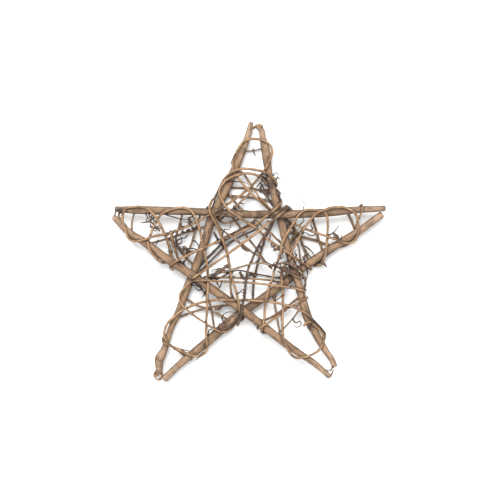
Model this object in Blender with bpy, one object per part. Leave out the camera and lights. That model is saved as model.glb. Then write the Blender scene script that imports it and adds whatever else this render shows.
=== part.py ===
"""A rattan star ornament: five peeled sticks crossed into a star and wound all over with thin vines.

The star lies flat, +Z up. Every vine's route is given by stations on the sticks that it passes, so the winding
follows the frame when a stick is moved, bent or made thicker. The heights of the vines aren't drawn: each vine
starts on the front or the back of the sticks, and is then pushed clear of what it crosses, as in real winding.
"""

import math

import bpy
import numpy as np
from mathutils import Vector, kdtree

# The frame, in metres
STAR_REACH = 0.104  # from the middle of the star to a tip, on average
STICK_DIAMETER = 0.0059
STICK_GAP = 0.0003  # left between two sticks where they cross
CROSSING_GIRTH = 1.05  # the most girth of a stick where it crosses another, in stick diameters

# The vines, in metres
THICK_VINE = 0.0021
MEDIUM_VINE = 0.00175
THIN_VINE = 0.00125
VINE_CLEARANCE = 0.0006  # kept between a vine and whatever it crosses
TABLE_LIFT = 0.0024  # how far the lowest vines are pressed up by the table that the star rests on
WORN_DEPTH = 0.00025  # how much of their undersides is worn flat there
FLAT_ENOUGH = 0.00002  # a stretch of vine this near to the table counts as resting on it

# How finely the solids are made
STICK_SIDES = 10
VINE_SIDES = 6
THIN_VINE_SIDES = 5
SAMPLE_STEP = 0.0009  # between the points along a route while it settles
ROUTE_TOLERANCE = 0.00028  # how far a solid's straight stretches may leave the settled route
CURVE_STEPS = 24  # steps of a route between two stations, before it is sampled evenly

# How the vines settle: in height first, then in every direction
FRONT_RANK = 10  # more than any place in the order of winding, so that the front lies over the back
LINKED_SAMPLES = 2.9  # pairs of points within so many samples of each other belong to one crossing
HEIGHT_ROUNDS = 600
TAUT_ROUNDS = 480
TAUT, EASED = 0.5, 0.15  # how much each point follows its neighbours in the taut rounds, and after them
SINKING = 0.002  # how much each point returns towards the sticks
PUSH_ROUNDS = 90
EASING_ROUNDS = 63
SEARCH_ROUNDS = 10  # rounds between two searches for what lies close together
PUSH_STRENGTH = 1.3
PUSH_EASING = 0.08
SAME_BEND = 3.0  # points of one vine nearer along it than this many clearances don't push each other

# Colours of the peeled sticks and of the vines, from pale to dark
STICK_TAN = (0.42, 0.25, 0.15)
VINE_TAN = (0.45, 0.27, 0.15)
VINE_BROWN = (0.20, 0.11, 0.065)

# The five tips: degrees clockwise from the top, distance as a share of the reach, then in percent of the reach
# how far apart the two stick ends are, and how much further out the clockwise one stands
TIPS = {
    "top": (1.8, 0.960, 3.6, -3.2),
    "right": (70.1, 1.010, 3.1, -2.9),
    "lower right": (143.6, 0.983, 7.0, 3.5),
    "lower left": (217.1, 1.043, 5.4, -0.6),
    "left": (289.1, 1.013, 5.2, 0.7),
}
CLOCKWISE, ANTICLOCKWISE = 1, -1

# The five sticks. A stick runs between two tips, on one side of each. Its bends are pairs of a share of its
# length and a sideways offset in percent of the reach, its girth is in shares of the stick diameter, and its
# height is in layers: 0 is the lower layer of sticks and 1 the upper one.
ACROSS, LEFT_LEG, RIGHT_LEG = "stick_left_to_right", "stick_top_to_lower_left", "stick_top_to_lower_right"
RISING, FALLING = "stick_right_to_lower_left", "stick_left_to_lower_right"
STICKS = {
    ACROSS: {
        "ends": (("left", CLOCKWISE), ("right", ANTICLOCKWISE)),
        "bends": [
            (0.0, 0.0), (0.13, -0.9), (0.28, -1.7), (0.42, -3.0), (0.5, -4.1), (0.57, -4.2), (0.72, -3.4),
            (0.8, -2.7), (0.87, -1.3), (1.0, 0.0),
        ],
        "girth": [(0.0, 0.62), (0.03, 0.8), (0.3, 0.95), (0.68, 1.02), (0.85, 0.96), (0.93, 0.77), (1.0, 0.74)],
        "height": [(0.0, 1.0), (0.85, 1.0), (1.0, 0.75)],
    },
    LEFT_LEG: {
        "ends": (("top", ANTICLOCKWISE), ("lower left", CLOCKWISE)),
        "bends": [
            (0.0, 0.0), (0.07, 0.9), (0.166, 0.6), (0.272, -0.7), (0.342, -2.0), (0.393, -3.0), (0.443, -2.2),
            (0.544, -1.6), (0.669, -2.1), (0.747, -1.9), (0.829, -2.9), (0.906, -2.2), (0.95, -2.9),
            (0.98, -0.9), (1.0, 0.0),
        ],
        "girth": [
            (0.0, 0.62), (0.06, 0.78), (0.17, 1.0), (0.5, 1.05), (0.66, 1.0), (0.78, 0.88), (0.9, 0.84),
            (0.944, 1.2), (0.97, 0.92), (1.0, 0.84),
        ],
        "height": [(0.0, 0.0), (1.0, 0.0)],
    },
    RIGHT_LEG: {
        "ends": (("top", CLOCKWISE), ("lower right", ANTICLOCKWISE)),
        "bends": [
            (0.0, 0.0), (0.008, 1.6), (0.02, 2.6), (0.045, 1.9), (0.1, 1.0), (0.139, -0.5), (0.2, -2.0),
            (0.28, -3.3), (0.374, -3.8), (0.463, -5.4), (0.544, -6.1), (0.628, -6.1), (0.709, -7.2),
            (0.792, -7.3), (0.835, -6.0), (0.924, -3.0), (0.97, -0.5), (1.0, 0.0),
        ],
        "girth": [
            (0.0, 0.58), (0.02, 0.7), (0.05, 0.76), (0.1, 1.14), (0.155, 0.97), (0.4, 1.0), (0.7, 1.0),
            (0.81, 1.12), (0.88, 0.92), (0.94, 0.76), (1.0, 0.74),
        ],
        "height": [(0.0, 0.35), (0.15, 0.0), (0.38, 0.0), (0.58, 1.0), (1.0, 1.0)],
    },
    RISING: {
        "ends": (("right", CLOCKWISE), ("lower left", ANTICLOCKWISE)),
        "bends": [
            (0.0, 0.0), (0.036, -0.4), (0.096, -0.5), (0.19, -2.0), (0.276, -2.9), (0.363, -3.8), (0.434, -3.1),
            (0.532, -3.6), (0.629, -4.6), (0.699, -4.2), (0.785, -2.9), (0.865, -2.3), (0.938, -1.7), (1.0, 0.0),
        ],
        "girth": [(0.0, 0.87), (0.2, 1.0), (0.6, 1.05), (0.8, 1.12), (0.88, 1.0), (0.94, 0.85), (1.0, 0.88)],
        "height": [(0.0, 0.2), (0.25, 0.0), (1.0, 0.0)],
    },
    FALLING: {
        "ends": (("left", ANTICLOCKWISE), ("lower right", CLOCKWISE)),
        "bends": [
            (0.0, 0.0), (0.04, -1.2), (0.086, -2.5), (0.134, -1.6), (0.227, -1.7), (0.302, -0.9), (0.399, 0.3),
            (0.498, 0.4), (0.575, 1.2), (0.676, 0.8), (0.829, 0.3), (0.954, 1.0), (1.0, 0.0),
        ],
        "girth": [
            (0.0, 0.76), (0.06, 0.8), (0.13, 0.98), (0.35, 1.03), (0.7, 1.0), (0.85, 0.9), (0.93, 0.72), (1.0, 0.7),
        ],
        "height": [(0.0, 1.0), (1.0, 1.0)],
    },
}

# The vines. Each has its thickness, its place in the order of winding at its start and at its end (what is
# wound later lies further out), and its route. A station is a stick, a share of its length and a sideways
# offset in percent of the reach; the word before it says whether the vine lies in front of the sticks there,
# behind them, beside the stick as it turns round it, or passes between front and back.
FRONT, BACK, BESIDE, BETWEEN = "front", "back", "beside", "between"
ROUTES = {
    "ribbon_left_and_top": (THICK_VINE, 2.45, 2.55, [
        BACK, (FALLING, 0.297, -0.5), BETWEEN, (FALLING, 0.260, 3.5), FRONT, (FALLING, 0.215, 10.7),
        (ACROSS, 0.155, -5.4), (ACROSS, 0.115, 1.9), (ACROSS, 0.089, 2.3),
        (ACROSS, 0.063, 2.1), (ACROSS, 0.044, 1.2), (FALLING, 0.031, 3.8), (FALLING, 0.058, 1.1),
        (FALLING, 0.079, -1.9), BESIDE, (FALLING, 0.099, -4.3), FRONT, (FALLING, 0.118, -3.7),
        (FALLING, 0.174, 9.2), (FALLING, 0.205, 15.7), (ACROSS, 0.310, -6.6), (LEFT_LEG, 0.291, 9.1),
        (RIGHT_LEG, 0.209, -11.1), (RIGHT_LEG, 0.131, 4.0), (RIGHT_LEG, 0.110, 4.8),
        (RIGHT_LEG, 0.084, 3.8), (RIGHT_LEG, 0.062, 0.3), (LEFT_LEG, 0.074, -0.9),
        (LEFT_LEG, 0.127, -3.3), (LEFT_LEG, 0.157, -3.5), (LEFT_LEG, 0.180, -2.5),
        (LEFT_LEG, 0.199, 0.7), (ACROSS, 0.521, 11.5), BETWEEN, (ACROSS, 0.547, 7.5), BACK,
        (ACROSS, 0.573, 3.4), (ACROSS, 0.599, -1.1),
    ]),
    "ribbon_left_and_lower_left": (THICK_VINE, 2.0, 4.0, [
        BACK, (FALLING, 0.255, 1.2), BESIDE, (FALLING, 0.251, -3.7), FRONT, (FALLING, 0.220, -4.0),
        (FALLING, 0.171, -0.8), (ACROSS, 0.170, -3.5), (ACROSS, 0.222, 1.9), (ACROSS, 0.244, 2.6),
        (ACROSS, 0.266, 2.3), (ACROSS, 0.281, 0.9), (LEFT_LEG, 0.437, -6.1),
        (LEFT_LEG, 0.472, -2.4), (FALLING, 0.404, 8.0), (RISING, 0.782, -3.4), (RISING, 0.806, 4.0),
        (RISING, 0.833, 4.8), (RISING, 0.855, 2.9), (RISING, 0.874, -2.8),
        (LEFT_LEG, 0.881, 2.4), BESIDE, (LEFT_LEG, 0.878, -3.2), BACK, (LEFT_LEG, 0.85, -2.5),
    ]),
    "ribbon_lower_left_to_lower_right": (THICK_VINE, 2.85, 2.95, [
        BACK, (RISING, 0.875, 3.5), BETWEEN, (RISING, 0.890, -3.2), FRONT, (LEFT_LEG, 0.887, 7.5),
        (LEFT_LEG, 0.880, 1.7), (LEFT_LEG, 0.858, -3.1), (LEFT_LEG, 0.836, -3.7),
        (LEFT_LEG, 0.816, -3.9), (LEFT_LEG, 0.754, 1.0), (FALLING, 0.462, -9.8), (RISING, 0.522, 4.6),
        (RIGHT_LEG, 0.739, -4.1), (RIGHT_LEG, 0.846, 5.7), BESIDE, (RIGHT_LEG, 0.874, 5.4), BACK,
        (RIGHT_LEG, 0.892, -0.7),
    ]),
    "ribbon_lower_right": (THICK_VINE, 2.6, 2.75, [
        BACK, (RIGHT_LEG, 0.807, -5.5), FRONT, (RIGHT_LEG, 0.794, -0.8), (RIGHT_LEG, 0.878, 3.7),
        (RIGHT_LEG, 0.916, -4.0), (FALLING, 0.877, -0.6), (FALLING, 0.860, -3.6),
        (FALLING, 0.836, -3.9), (FALLING, 0.782, 0.9), (RISING, 0.458, 3.5), (RISING, 0.418, -8.2),
        BETWEEN, (RIGHT_LEG, 0.548, -2.5),
    ]),
    "band_top_to_middle": (THICK_VINE, 4.9, 5.95, [
        BACK, (RIGHT_LEG, 0.244, -2.1), BESIDE, (RIGHT_LEG, 0.244, 4.7), FRONT, (RIGHT_LEG, 0.209, 1.9),
        (RIGHT_LEG, 0.181, -3.4), (LEFT_LEG, 0.179, 3.6), (LEFT_LEG, 0.218, -3.4), BESIDE,
        (LEFT_LEG, 0.242, -4.7), (LEFT_LEG, 0.271, -4.9), (LEFT_LEG, 0.305, -4.9), BETWEEN,
        (LEFT_LEG, 0.330, -5.0), FRONT, (ACROSS, 0.348, 3.2), (LEFT_LEG, 0.421, 7.7),
        (LEFT_LEG, 0.483, 17.0), (FALLING, 0.481, 16.0), (FALLING, 0.566, 2.6), (RISING, 0.632, -1.1),
        BESIDE, (RISING, 0.649, 4.3), BACK, (FALLING, 0.614, -1.9),
    ]),
    "band_top_to_right": (THICK_VINE, 5.35, 5.0, [
        BACK, (RIGHT_LEG, 0.248, 2.9), BETWEEN, (RIGHT_LEG, 0.214, -2.0), FRONT, (RIGHT_LEG, 0.188, -7.3),
        (LEFT_LEG, 0.192, 6.3), (LEFT_LEG, 0.240, -2.8), (LEFT_LEG, 0.263, -3.8),
        (LEFT_LEG, 0.284, -3.9), (LEFT_LEG, 0.299, -1.4), (ACROSS, 0.421, 2.2),
        (ACROSS, 0.527, -10.4), (RIGHT_LEG, 0.426, -13.8), (RISING, 0.333, 0.6), BESIDE,
        (RISING, 0.325, 5.4), BACK, (RISING, 0.339, 1.4),
    ]),
    "band_twin": (MEDIUM_VINE, 5.6, 5.7, [
        BACK, (LEFT_LEG, 0.387, -3.5), BESIDE, (ACROSS, 0.340, 4.0), FRONT, (ACROSS, 0.356, 1.9),
        (LEFT_LEG, 0.494, 18.9), (FALLING, 0.505, 8.8), BETWEEN, (FALLING, 0.526, 4.5), BACK,
        (FALLING, 0.552, 0.9),
    ]),
    "diagonal_upper": (THICK_VINE, 4.4, 4.5, [
        BACK, (RIGHT_LEG, 0.283, -0.2), BESIDE, (RIGHT_LEG, 0.310, 4.4), FRONT, (RIGHT_LEG, 0.326, 0.4),
        (ACROSS, 0.521, -7.0), (ACROSS, 0.447, -14.4), (FALLING, 0.290, 3.7), BESIDE,
        (FALLING, 0.278, -3.5), BACK, (FALLING, 0.299, -4.7),
    ]),
    "diagonal_lower": (THICK_VINE, 6.0, 6.1, [
        BACK, (ACROSS, 0.656, -1.5), BESIDE, (ACROSS, 0.644, 4.2), FRONT, (ACROSS, 0.618, 0.9),
        (ACROSS, 0.484, -18.6), (FALLING, 0.382, 2.8),
        (LEFT_LEG, 0.621, 0.8),
    ]),
    "dark_vertical_long": (THICK_VINE, 5.6, 5.65, [
        BACK, (ACROSS, 0.647, 0.0), BESIDE, (ACROSS, 0.625, 5.3), FRONT, (RIGHT_LEG, 0.349, 0.7),
        (RISING, 0.501, -24.6), (RISING, 0.585, -7.9), (RISING, 0.645, 3.2), BACK, (RISING, 0.667, 5.2),
    ]),
    "dark_vertical_short": (MEDIUM_VINE, 3.2, 3.2, [
        BACK, (ACROSS, 0.595, -1.1), BETWEEN, (RIGHT_LEG, 0.395, -7.8), BACK, (RIGHT_LEG, 0.412, -11.4),
        (RISING, 0.522, -13.5), (RISING, 0.587, 2.4),
    ]),
    "crossband_and_lower_left_loop": (MEDIUM_VINE, 5.15, 5.25, [
        BACK, (RISING, 0.661, 2.6), BESIDE, (RISING, 0.694, 4.9), FRONT, (RISING, 0.722, 2.4),
        (LEFT_LEG, 0.742, 8.3), (LEFT_LEG, 0.719, -1.4), (LEFT_LEG, 0.700, -2.9),
        (LEFT_LEG, 0.674, -2.4), (LEFT_LEG, 0.632, 1.7), (FALLING, 0.491, 11.4), (RISING, 0.489, -6.4),
        (RIGHT_LEG, 0.658, -2.6), BESIDE, (RIGHT_LEG, 0.681, 2.9), BACK, (RIGHT_LEG, 0.646, 1.0),
    ]),
    "loop_right_leg": (MEDIUM_VINE, 2.55, 2.6, [
        BACK, (RIGHT_LEG, 0.727, -5.7), BESIDE, (RIGHT_LEG, 0.703, 2.6), FRONT, (RIGHT_LEG, 0.709, -1.8),
        (FALLING, 0.689, 1.2), BESIDE, (FALLING, 0.677, -4.1), BACK, (FALLING, 0.669, 3.4),
    ]),
    "arch_middle": (MEDIUM_VINE, 5.8, 5.85, [
        BACK, (FALLING, 0.402, -2.7), FRONT, (FALLING, 0.407, 4.0), (FALLING, 0.425, 8.2),
        (FALLING, 0.492, 24.4), (RISING, 0.473, -23.1), (RIGHT_LEG, 0.542, -13.2),
        (RIGHT_LEG, 0.550, -3.3), (RISING, 0.363, 4.8), BESIDE, (RIGHT_LEG, 0.649, 5.2), BACK,
        (RIGHT_LEG, 0.676, 1.9),
    ]),
    "diagonal_falling": (MEDIUM_VINE, 5.5, 5.5, [
        BACK, (LEFT_LEG, 0.391, -3.5), FRONT, (LEFT_LEG, 0.407, 5.4), (ACROSS, 0.462, -20.4),
        (RIGHT_LEG, 0.510, -19.0), (RISING, 0.400, -3.1), (RIGHT_LEG, 0.619, 0.8), BESIDE,
        (RIGHT_LEG, 0.630, 6.1), BACK, (RISING, 0.367, 0.5),
    ]),
    "rung_lower": (MEDIUM_VINE, 3.0, 3.0, [
        BACK, (LEFT_LEG, 0.629, 1.8), (FALLING, 0.399, -0.6), BETWEEN, (FALLING, 0.428, 4.9), FRONT,
        (FALLING, 0.458, 10.6), (RISING, 0.469, -6.9), BACK, (RISING, 0.442, -0.9),
    ]),
    "rung_dark": (THIN_VINE, 1.0, 1.0, [
        BACK, (FALLING, 0.444, 5.7), (FALLING, 0.489, 21.4), (RISING, 0.519, -21.0),
        (RISING, 0.433, -3.1),
    ]),
    "dark_pair": (MEDIUM_VINE, 1.0, 1.3, [
        BACK, (FALLING, 0.374, -1.2), (LEFT_LEG, 0.439, 18.7), (ACROSS, 0.532, -8.4), BETWEEN,
        (ACROSS, 0.517, -5.6), BACK, (ACROSS, 0.492, -8.8), (LEFT_LEG, 0.429, 15.9),
        (LEFT_LEG, 0.584, 1.3),
    ]),
    "rung_upper_middle": (MEDIUM_VINE, 1.2, 1.2, [
        BACK, (LEFT_LEG, 0.467, 6.8), (ACROSS, 0.510, -4.9), (ACROSS, 0.536, 0.1),
    ]),
    "ribbon_right_upright": (THICK_VINE, 5.1, 5.11, [
        BACK, (FALLING, 0.720, -1.3), BESIDE, (FALLING, 0.697, -3.2), FRONT, (FALLING, 0.682, 2.8),
        (RISING, 0.532, 2.8), (RIGHT_LEG, 0.506, -6.2), (RIGHT_LEG, 0.476, -3.8), (ACROSS, 0.696, 2.3),
        (ACROSS, 0.717, 2.8), (ACROSS, 0.743, 2.6), (ACROSS, 0.767, 1.5),
        (ACROSS, 0.782, -1.9), (RISING, 0.260, 1.8), (RISING, 0.284, 5.0), BESIDE, (RISING, 0.304, 5.8),
        BACK, (RISING, 0.303, 0.6),
    ]),
    "ribbon_right": (THICK_VINE, 5.05, 5.5, [
        BACK, (RIGHT_LEG, 0.326, -4.0), (RIGHT_LEG, 0.360, 0.1), FRONT, (RIGHT_LEG, 0.384, 3.4),
        (ACROSS, 0.695, -10.2), (RISING, 0.184, -1.4), (RISING, 0.170, 3.1), BESIDE, (RISING, 0.153, 5.3),
        FRONT, (RISING, 0.130, 3.5), (RISING, 0.107, -0.5), (ACROSS, 0.889, -3.3), (ACROSS, 0.850, 2.4),
        (ACROSS, 0.823, 3.4), (ACROSS, 0.795, 3.1), (ACROSS, 0.739, -1.1),
        (RIGHT_LEG, 0.515, 1.9), BACK, (RIGHT_LEG, 0.542, -1.4),
    ]),
    "hairpin_top": (MEDIUM_VINE, 1.0, 1.2, [
        BACK, (LEFT_LEG, 0.269, -3.9), (LEFT_LEG, 0.236, 12.3), (RIGHT_LEG, 0.254, -3.3),
        (RIGHT_LEG, 0.257, 1.8), BESIDE, (RIGHT_LEG, 0.270, 5.1), (RIGHT_LEG, 0.288, 3.7), BACK,
        (RIGHT_LEG, 0.305, -0.6), (RIGHT_LEG, 0.282, -7.6), (LEFT_LEG, 0.287, 3.5),
        (LEFT_LEG, 0.308, -2.4),
    ]),
    "brace_top_long": (MEDIUM_VINE, 2.2, 2.2, [
        BACK, (LEFT_LEG, 0.217, 0.3), (LEFT_LEG, 0.192, 2.1), BETWEEN, (LEFT_LEG, 0.183, 4.7),
        (LEFT_LEG, 0.195, 8.5), FRONT, (RIGHT_LEG, 0.212, -14.5), (RIGHT_LEG, 0.279, -9.3), BETWEEN,
        (RIGHT_LEG, 0.308, -6.7), BACK, (ACROSS, 0.586, 1.8), (RIGHT_LEG, 0.376, -1.4),
    ]),
    "brace_top_left": (MEDIUM_VINE, 0.8, 0.8, [
        BACK, (LEFT_LEG, 0.261, -1.5), (ACROSS, 0.451, 6.7), (ACROSS, 0.506, -2.4),
    ]),
    "brace_top_right": (MEDIUM_VINE, 0.5, 0.5, [
        FRONT, (RIGHT_LEG, 0.238, -14.5), BETWEEN, (ACROSS, 0.486, 12.9), BACK, (ACROSS, 0.464, 8.5),
        (LEFT_LEG, 0.384, 5.8),
    ]),
    "brace_middle": (MEDIUM_VINE, 1.5, 1.5, [
        BACK, (ACROSS, 0.410, 3.3), (ACROSS, 0.473, -12.0), BETWEEN, (ACROSS, 0.495, -17.4), FRONT,
        (RIGHT_LEG, 0.452, -22.2), (RIGHT_LEG, 0.516, -17.8), BETWEEN, (RISING, 0.444, -13.4),
    ]),
    "brace_middle_right": (MEDIUM_VINE, 3.4, 3.4, [
        BETWEEN, (ACROSS, 0.517, -3.1), FRONT, (ACROSS, 0.543, -8.0), (RIGHT_LEG, 0.434, -7.4), BETWEEN,
        (RIGHT_LEG, 0.466, -4.3), BACK, (RIGHT_LEG, 0.500, 0.1),
    ]),
    "hanger_below_crossbar": (MEDIUM_VINE, 1.4, 1.4, [
        BACK, (ACROSS, 0.377, 1.0), (LEFT_LEG, 0.378, 4.1), (ACROSS, 0.395, -7.4), (ACROSS, 0.462, -3.3),
        (ACROSS, 0.488, 1.6),
    ]),
    "snake_left_back": (MEDIUM_VINE, 0.6, 0.8, [
        BACK, (ACROSS, 0.078, 2.1), (FALLING, 0.073, 4.6), (FALLING, 0.102, -0.3), (FALLING, 0.143, -2.0),
        (FALLING, 0.169, 1.9), (LEFT_LEG, 0.408, 1.3),
    ]),
    "snake_left_upright": (MEDIUM_VINE, 0.4, 0.5, [
        BACK, (ACROSS, 0.252, 2.9), (ACROSS, 0.248, -2.8), (FALLING, 0.247, 12.4), (FALLING, 0.385, 4.2),
    ]),
    "upright_left_back": (MEDIUM_VINE, 0.3, 0.3, [
        BACK, (ACROSS, 0.322, 2.6), (LEFT_LEG, 0.538, -8.4), (FALLING, 0.318, -1.4),
    ]),
    "shoot_left": (THICK_VINE, 2.2, 2.2, [
        FRONT, (ACROSS, 0.206, -13.4), (FALLING, 0.236, 12.2), BETWEEN, (FALLING, 0.261, 8.0), BACK,
        (FALLING, 0.293, 3.4), (FALLING, 0.324, 0.4),
    ]),
    "snake_right_back": (THICK_VINE, 0.6, 0.8, [
        BACK, (ACROSS, 0.856, 2.4), (RISING, 0.107, -7.4), (RISING, 0.114, -1.3), (RISING, 0.140, 3.5),
        (RISING, 0.205, 2.0), (RISING, 0.221, -3.1), (RIGHT_LEG, 0.469, 11.9), (RIGHT_LEG, 0.418, 0.6),
    ]),
    "hairpin_right_back": (THICK_VINE, 0.4, 0.5, [
        BACK, (ACROSS, 0.723, 1.6), (RISING, 0.244, -8.8), (RISING, 0.256, -2.0), (RISING, 0.283, 2.8),
        (RISING, 0.315, 2.5), (RIGHT_LEG, 0.443, 9.3), (ACROSS, 0.628, -1.3),
    ]),
    "upright_right_thin": (THIN_VINE, 1.6, 1.6, [
        BACK, (RIGHT_LEG, 0.456, 5.1), (RIGHT_LEG, 0.487, 7.8), (RISING, 0.359, 0.9),
    ]),
    "strand_right_tip": (MEDIUM_VINE, 4.0, 4.0, [
        BACK, (ACROSS, 0.896, -0.9), BESIDE, (ACROSS, 0.913, 4.7), FRONT, (ACROSS, 0.914, 0.6),
        (ACROSS, 0.908, -3.9), BETWEEN, (RISING, 0.093, -6.0), (RISING, 0.118, -2.3), BACK,
        (RISING, 0.147, 1.7),
    ]),
    "hairpin_lower_left_back": (MEDIUM_VINE, 1.0, 1.2, [
        BACK, (LEFT_LEG, 0.799, -1.2), (LEFT_LEG, 0.743, 8.3), (FALLING, 0.543, -2.6),
        (FALLING, 0.579, -0.8), (RISING, 0.639, 1.8), (RISING, 0.668, 1.9), (FALLING, 0.505, -12.6),
        (LEFT_LEG, 0.709, 9.7), (LEFT_LEG, 0.693, -4.1),
    ]),
    "upright_lower_left": (MEDIUM_VINE, 1.6, 1.6, [
        BACK, (FALLING, 0.370, 0.0), (FALLING, 0.439, -5.8), (FALLING, 0.469, -7.9), (RISING, 0.755, 0.9),
    ]),
    "upright_lower_right": (MEDIUM_VINE, 1.6, 1.6, [
        BACK, (RISING, 0.490, -0.2), (FALLING, 0.786, -2.4),
    ]),
    "brace_lower_right_thin": (THIN_VINE, 0.4, 0.4, [
        BACK, (RIGHT_LEG, 0.717, 2.2), (RIGHT_LEG, 0.771, -11.1), (FALLING, 0.751, -0.8),
    ]),
    "brace_lower_right": (THICK_VINE, 0.6, 0.6, [
        BACK, (RIGHT_LEG, 0.688, 2.1), (FALLING, 0.701, 10.9), (FALLING, 0.662, -3.2),
    ]),
    "tie_left_tip": (MEDIUM_VINE, 1.0, 1.0, [
        BACK, (ACROSS, 0.044, 2.3), (ACROSS, 0.025, -0.8), BETWEEN, (FALLING, 0.004, 3.9), BACK,
        (FALLING, 0.029, 1.9), (FALLING, 0.061, 1.7),
    ]),
    "twig_top": (THIN_VINE, 1.0, 1.0, [
        BACK, (LEFT_LEG, 0.118, -1.7), (LEFT_LEG, 0.094, 7.8), (RIGHT_LEG, 0.088, 2.1),
    ]),
}

DARK_VINES = {
    "dark_vertical_long", "dark_vertical_short", "rung_dark", "dark_pair",
}

PERCENT = STAR_REACH / 100
LAYER_HEIGHT = CROSSING_GIRTH * STICK_DIAMETER + STICK_GAP


def smooth_value(pairs, at):
    """A smooth curve through pairs of a place and a value, read at one or more places."""
    places, values = (np.array(column, float) for column in zip(*pairs))
    at = np.clip(np.asarray(at, float), places[0], places[-1])
    slopes = np.gradient(values, places)
    i = np.clip(np.searchsorted(places, at, side="right") - 1, 0, len(places) - 2)
    width = places[i + 1] - places[i]
    s = (at - places[i]) / width
    rise = (3 - 2 * s) * s * s
    return (
        (1 - rise) * values[i]
        + rise * values[i + 1]
        + s * (1 - s) ** 2 * width * slopes[i]
        - s * s * (1 - s) * width * slopes[i + 1]
    )


def plain_value(pairs, at):
    """Straight lines through pairs of a place and a value."""
    places, values = zip(*pairs)
    return np.interp(at, places, values)


def stick_end(tip, side):
    """Where a stick ends, on the clockwise or the anticlockwise side of a tip."""
    degrees, share, spread, stagger = TIPS[tip]
    angle = math.radians(degrees)
    outwards = np.array((math.sin(angle), math.cos(angle)))
    clockwise = np.array((math.cos(angle), -math.sin(angle)))
    return share * STAR_REACH * outwards + side * PERCENT / 2 * (spread * clockwise + stagger * outwards)


def stick_chord(stick):
    """The straight line between a stick's ends: its start, its run to the other end and its left-hand side."""
    start, end = (stick_end(*which) for which in STICKS[stick]["ends"])
    run = end - start
    left = np.array((-run[1], run[0])) / np.linalg.norm(run)
    return start, run, left


def on_stick(stick, share, aside=0.0):
    """The point at a share of a stick's length, with an offset to its side in percent of the reach."""
    start, run, left = stick_chord(stick)
    share = np.asarray(share, float)
    bend = smooth_value(STICKS[stick]["bends"], share) + aside
    plan = start + share[..., None] * run + (bend * PERCENT)[..., None] * left
    height = LAYER_HEIGHT * plain_value(STICKS[stick]["height"], share)
    return np.concatenate([plan, height[..., None]], axis=-1)


def stick_radius(stick, share):
    return STICK_DIAMETER / 2 * smooth_value(STICKS[stick]["girth"], share)


def stick_line(stick):
    """A stick's centre line and radius at close steps. Its slopes between layers are eased."""
    _, run, _ = stick_chord(stick)
    shares = np.linspace(0, 1, int(np.linalg.norm(run) / SAMPLE_STEP))
    points = on_stick(stick, shares)
    for _ in range(int(STICK_DIAMETER / SAMPLE_STEP) ** 2):
        points[1:-1, 2] = (points[:-2, 2] + 2 * points[1:-1, 2] + points[2:, 2]) / 4
    return points, stick_radius(stick, shares)


def curve_through(points, step):
    """A smooth curve through plan points, at even steps, with the distance along it at which each point lies."""
    points = np.asarray(points, float)
    ends = 2 * points[[0, -1]] - points[[1, -2]]
    guide = np.concatenate([ends[:1], points, ends[1:]])
    spans = np.sqrt(np.linalg.norm(np.diff(guide, axis=0), axis=1)) + 1e-9
    knots = np.concatenate([[0], np.cumsum(spans)])
    pieces = []
    for i in range(1, len(guide) - 2):
        t = np.linspace(knots[i], knots[i + 1], CURVE_STEPS, endpoint=False)[:, None]
        a = [
            ((knots[j + 1] - t) * guide[j] + (t - knots[j]) * guide[j + 1]) / (knots[j + 1] - knots[j])
            for j in (i - 1, i, i + 1)
        ]
        b = [
            ((knots[j + 2] - t) * a[k] + (t - knots[j]) * a[k + 1]) / (knots[j + 2] - knots[j])
            for k, j in ((0, i - 1), (1, i))
        ]
        pieces.append(((knots[i + 1] - t) * b[0] + (t - knots[i]) * b[1]) / (knots[i + 1] - knots[i]))
    dense = np.concatenate(pieces + [points[-1:]])
    along = np.concatenate([[0], np.cumsum(np.linalg.norm(np.diff(dense, axis=0), axis=1))])
    even = np.linspace(0, along[-1], max(int(along[-1] / step), 4) + 1)
    curve = np.stack([np.interp(even, along, dense[:, axis]) for axis in (0, 1)], axis=1)
    return curve, even, along[::CURVE_STEPS]


def read_route(route):
    """The stations of a route, each with the word that stands before it."""
    word, stations = None, []
    for item in route:
        if isinstance(item, str):
            word = item
        else:
            stations.append((word, *item))
    return stations


def lay_route(diameter, first, last, route):
    """A vine as first laid: its points, its radius, its rank at each point and the points pinned beside sticks.

    The rank is positive in front and negative behind, and grows with the order of winding, so of two vines
    that cross, the one with the larger rank is on top.
    """
    radius = diameter / 2
    side_of = {FRONT: 1.0, BACK: -1.0, BESIDE: 0.0}
    plan, marks = [], []
    for word, stick, share, aside in read_route(route):
        clear = (stick_radius(stick, share) + radius + VINE_CLEARANCE) / PERCENT
        if word == BESIDE:
            aside = math.copysign(max(abs(aside), clear), aside)
        point = on_stick(stick, share, aside)
        plan.append(point[:2])
        marks.append((word, point[2], clear * PERCENT))
    curve, even, at = curve_through(plan, SAMPLE_STEP)
    told = [i for i, mark in enumerate(marks) if mark[0] != BETWEEN]
    side = np.interp(even, at[told], [side_of[marks[i][0]] for i in told])
    order = first + (last - first) * even / even[-1]
    level = np.interp(even, at[told], [marks[i][1] + side_of[marks[i][0]] * marks[i][2] for i in told])
    height = level.copy()
    pinned = np.zeros(len(even), bool)
    for i, mark in enumerate(marks):
        if mark[0] == BESIDE:
            nearest = np.argmin(abs(even - at[i]))
            pinned[nearest] = True
            height[nearest] = mark[1]
    points = np.concatenate([curve, height[:, None]], axis=1)
    return points, radius, side * (FRONT_RANK + order), pinned


def near_pairs(points, reach):
    """Pairs of points nearer than a distance, each pair once."""
    tree = kdtree.KDTree(len(points))
    for i, point in enumerate(points):
        tree.insert(point, i)
    tree.balance()
    found = [(i, j) for i, point in enumerate(points) for _, j, _ in tree.find_range(point, reach) if j > i]
    return np.array(found, int).reshape(-1, 2)


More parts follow.
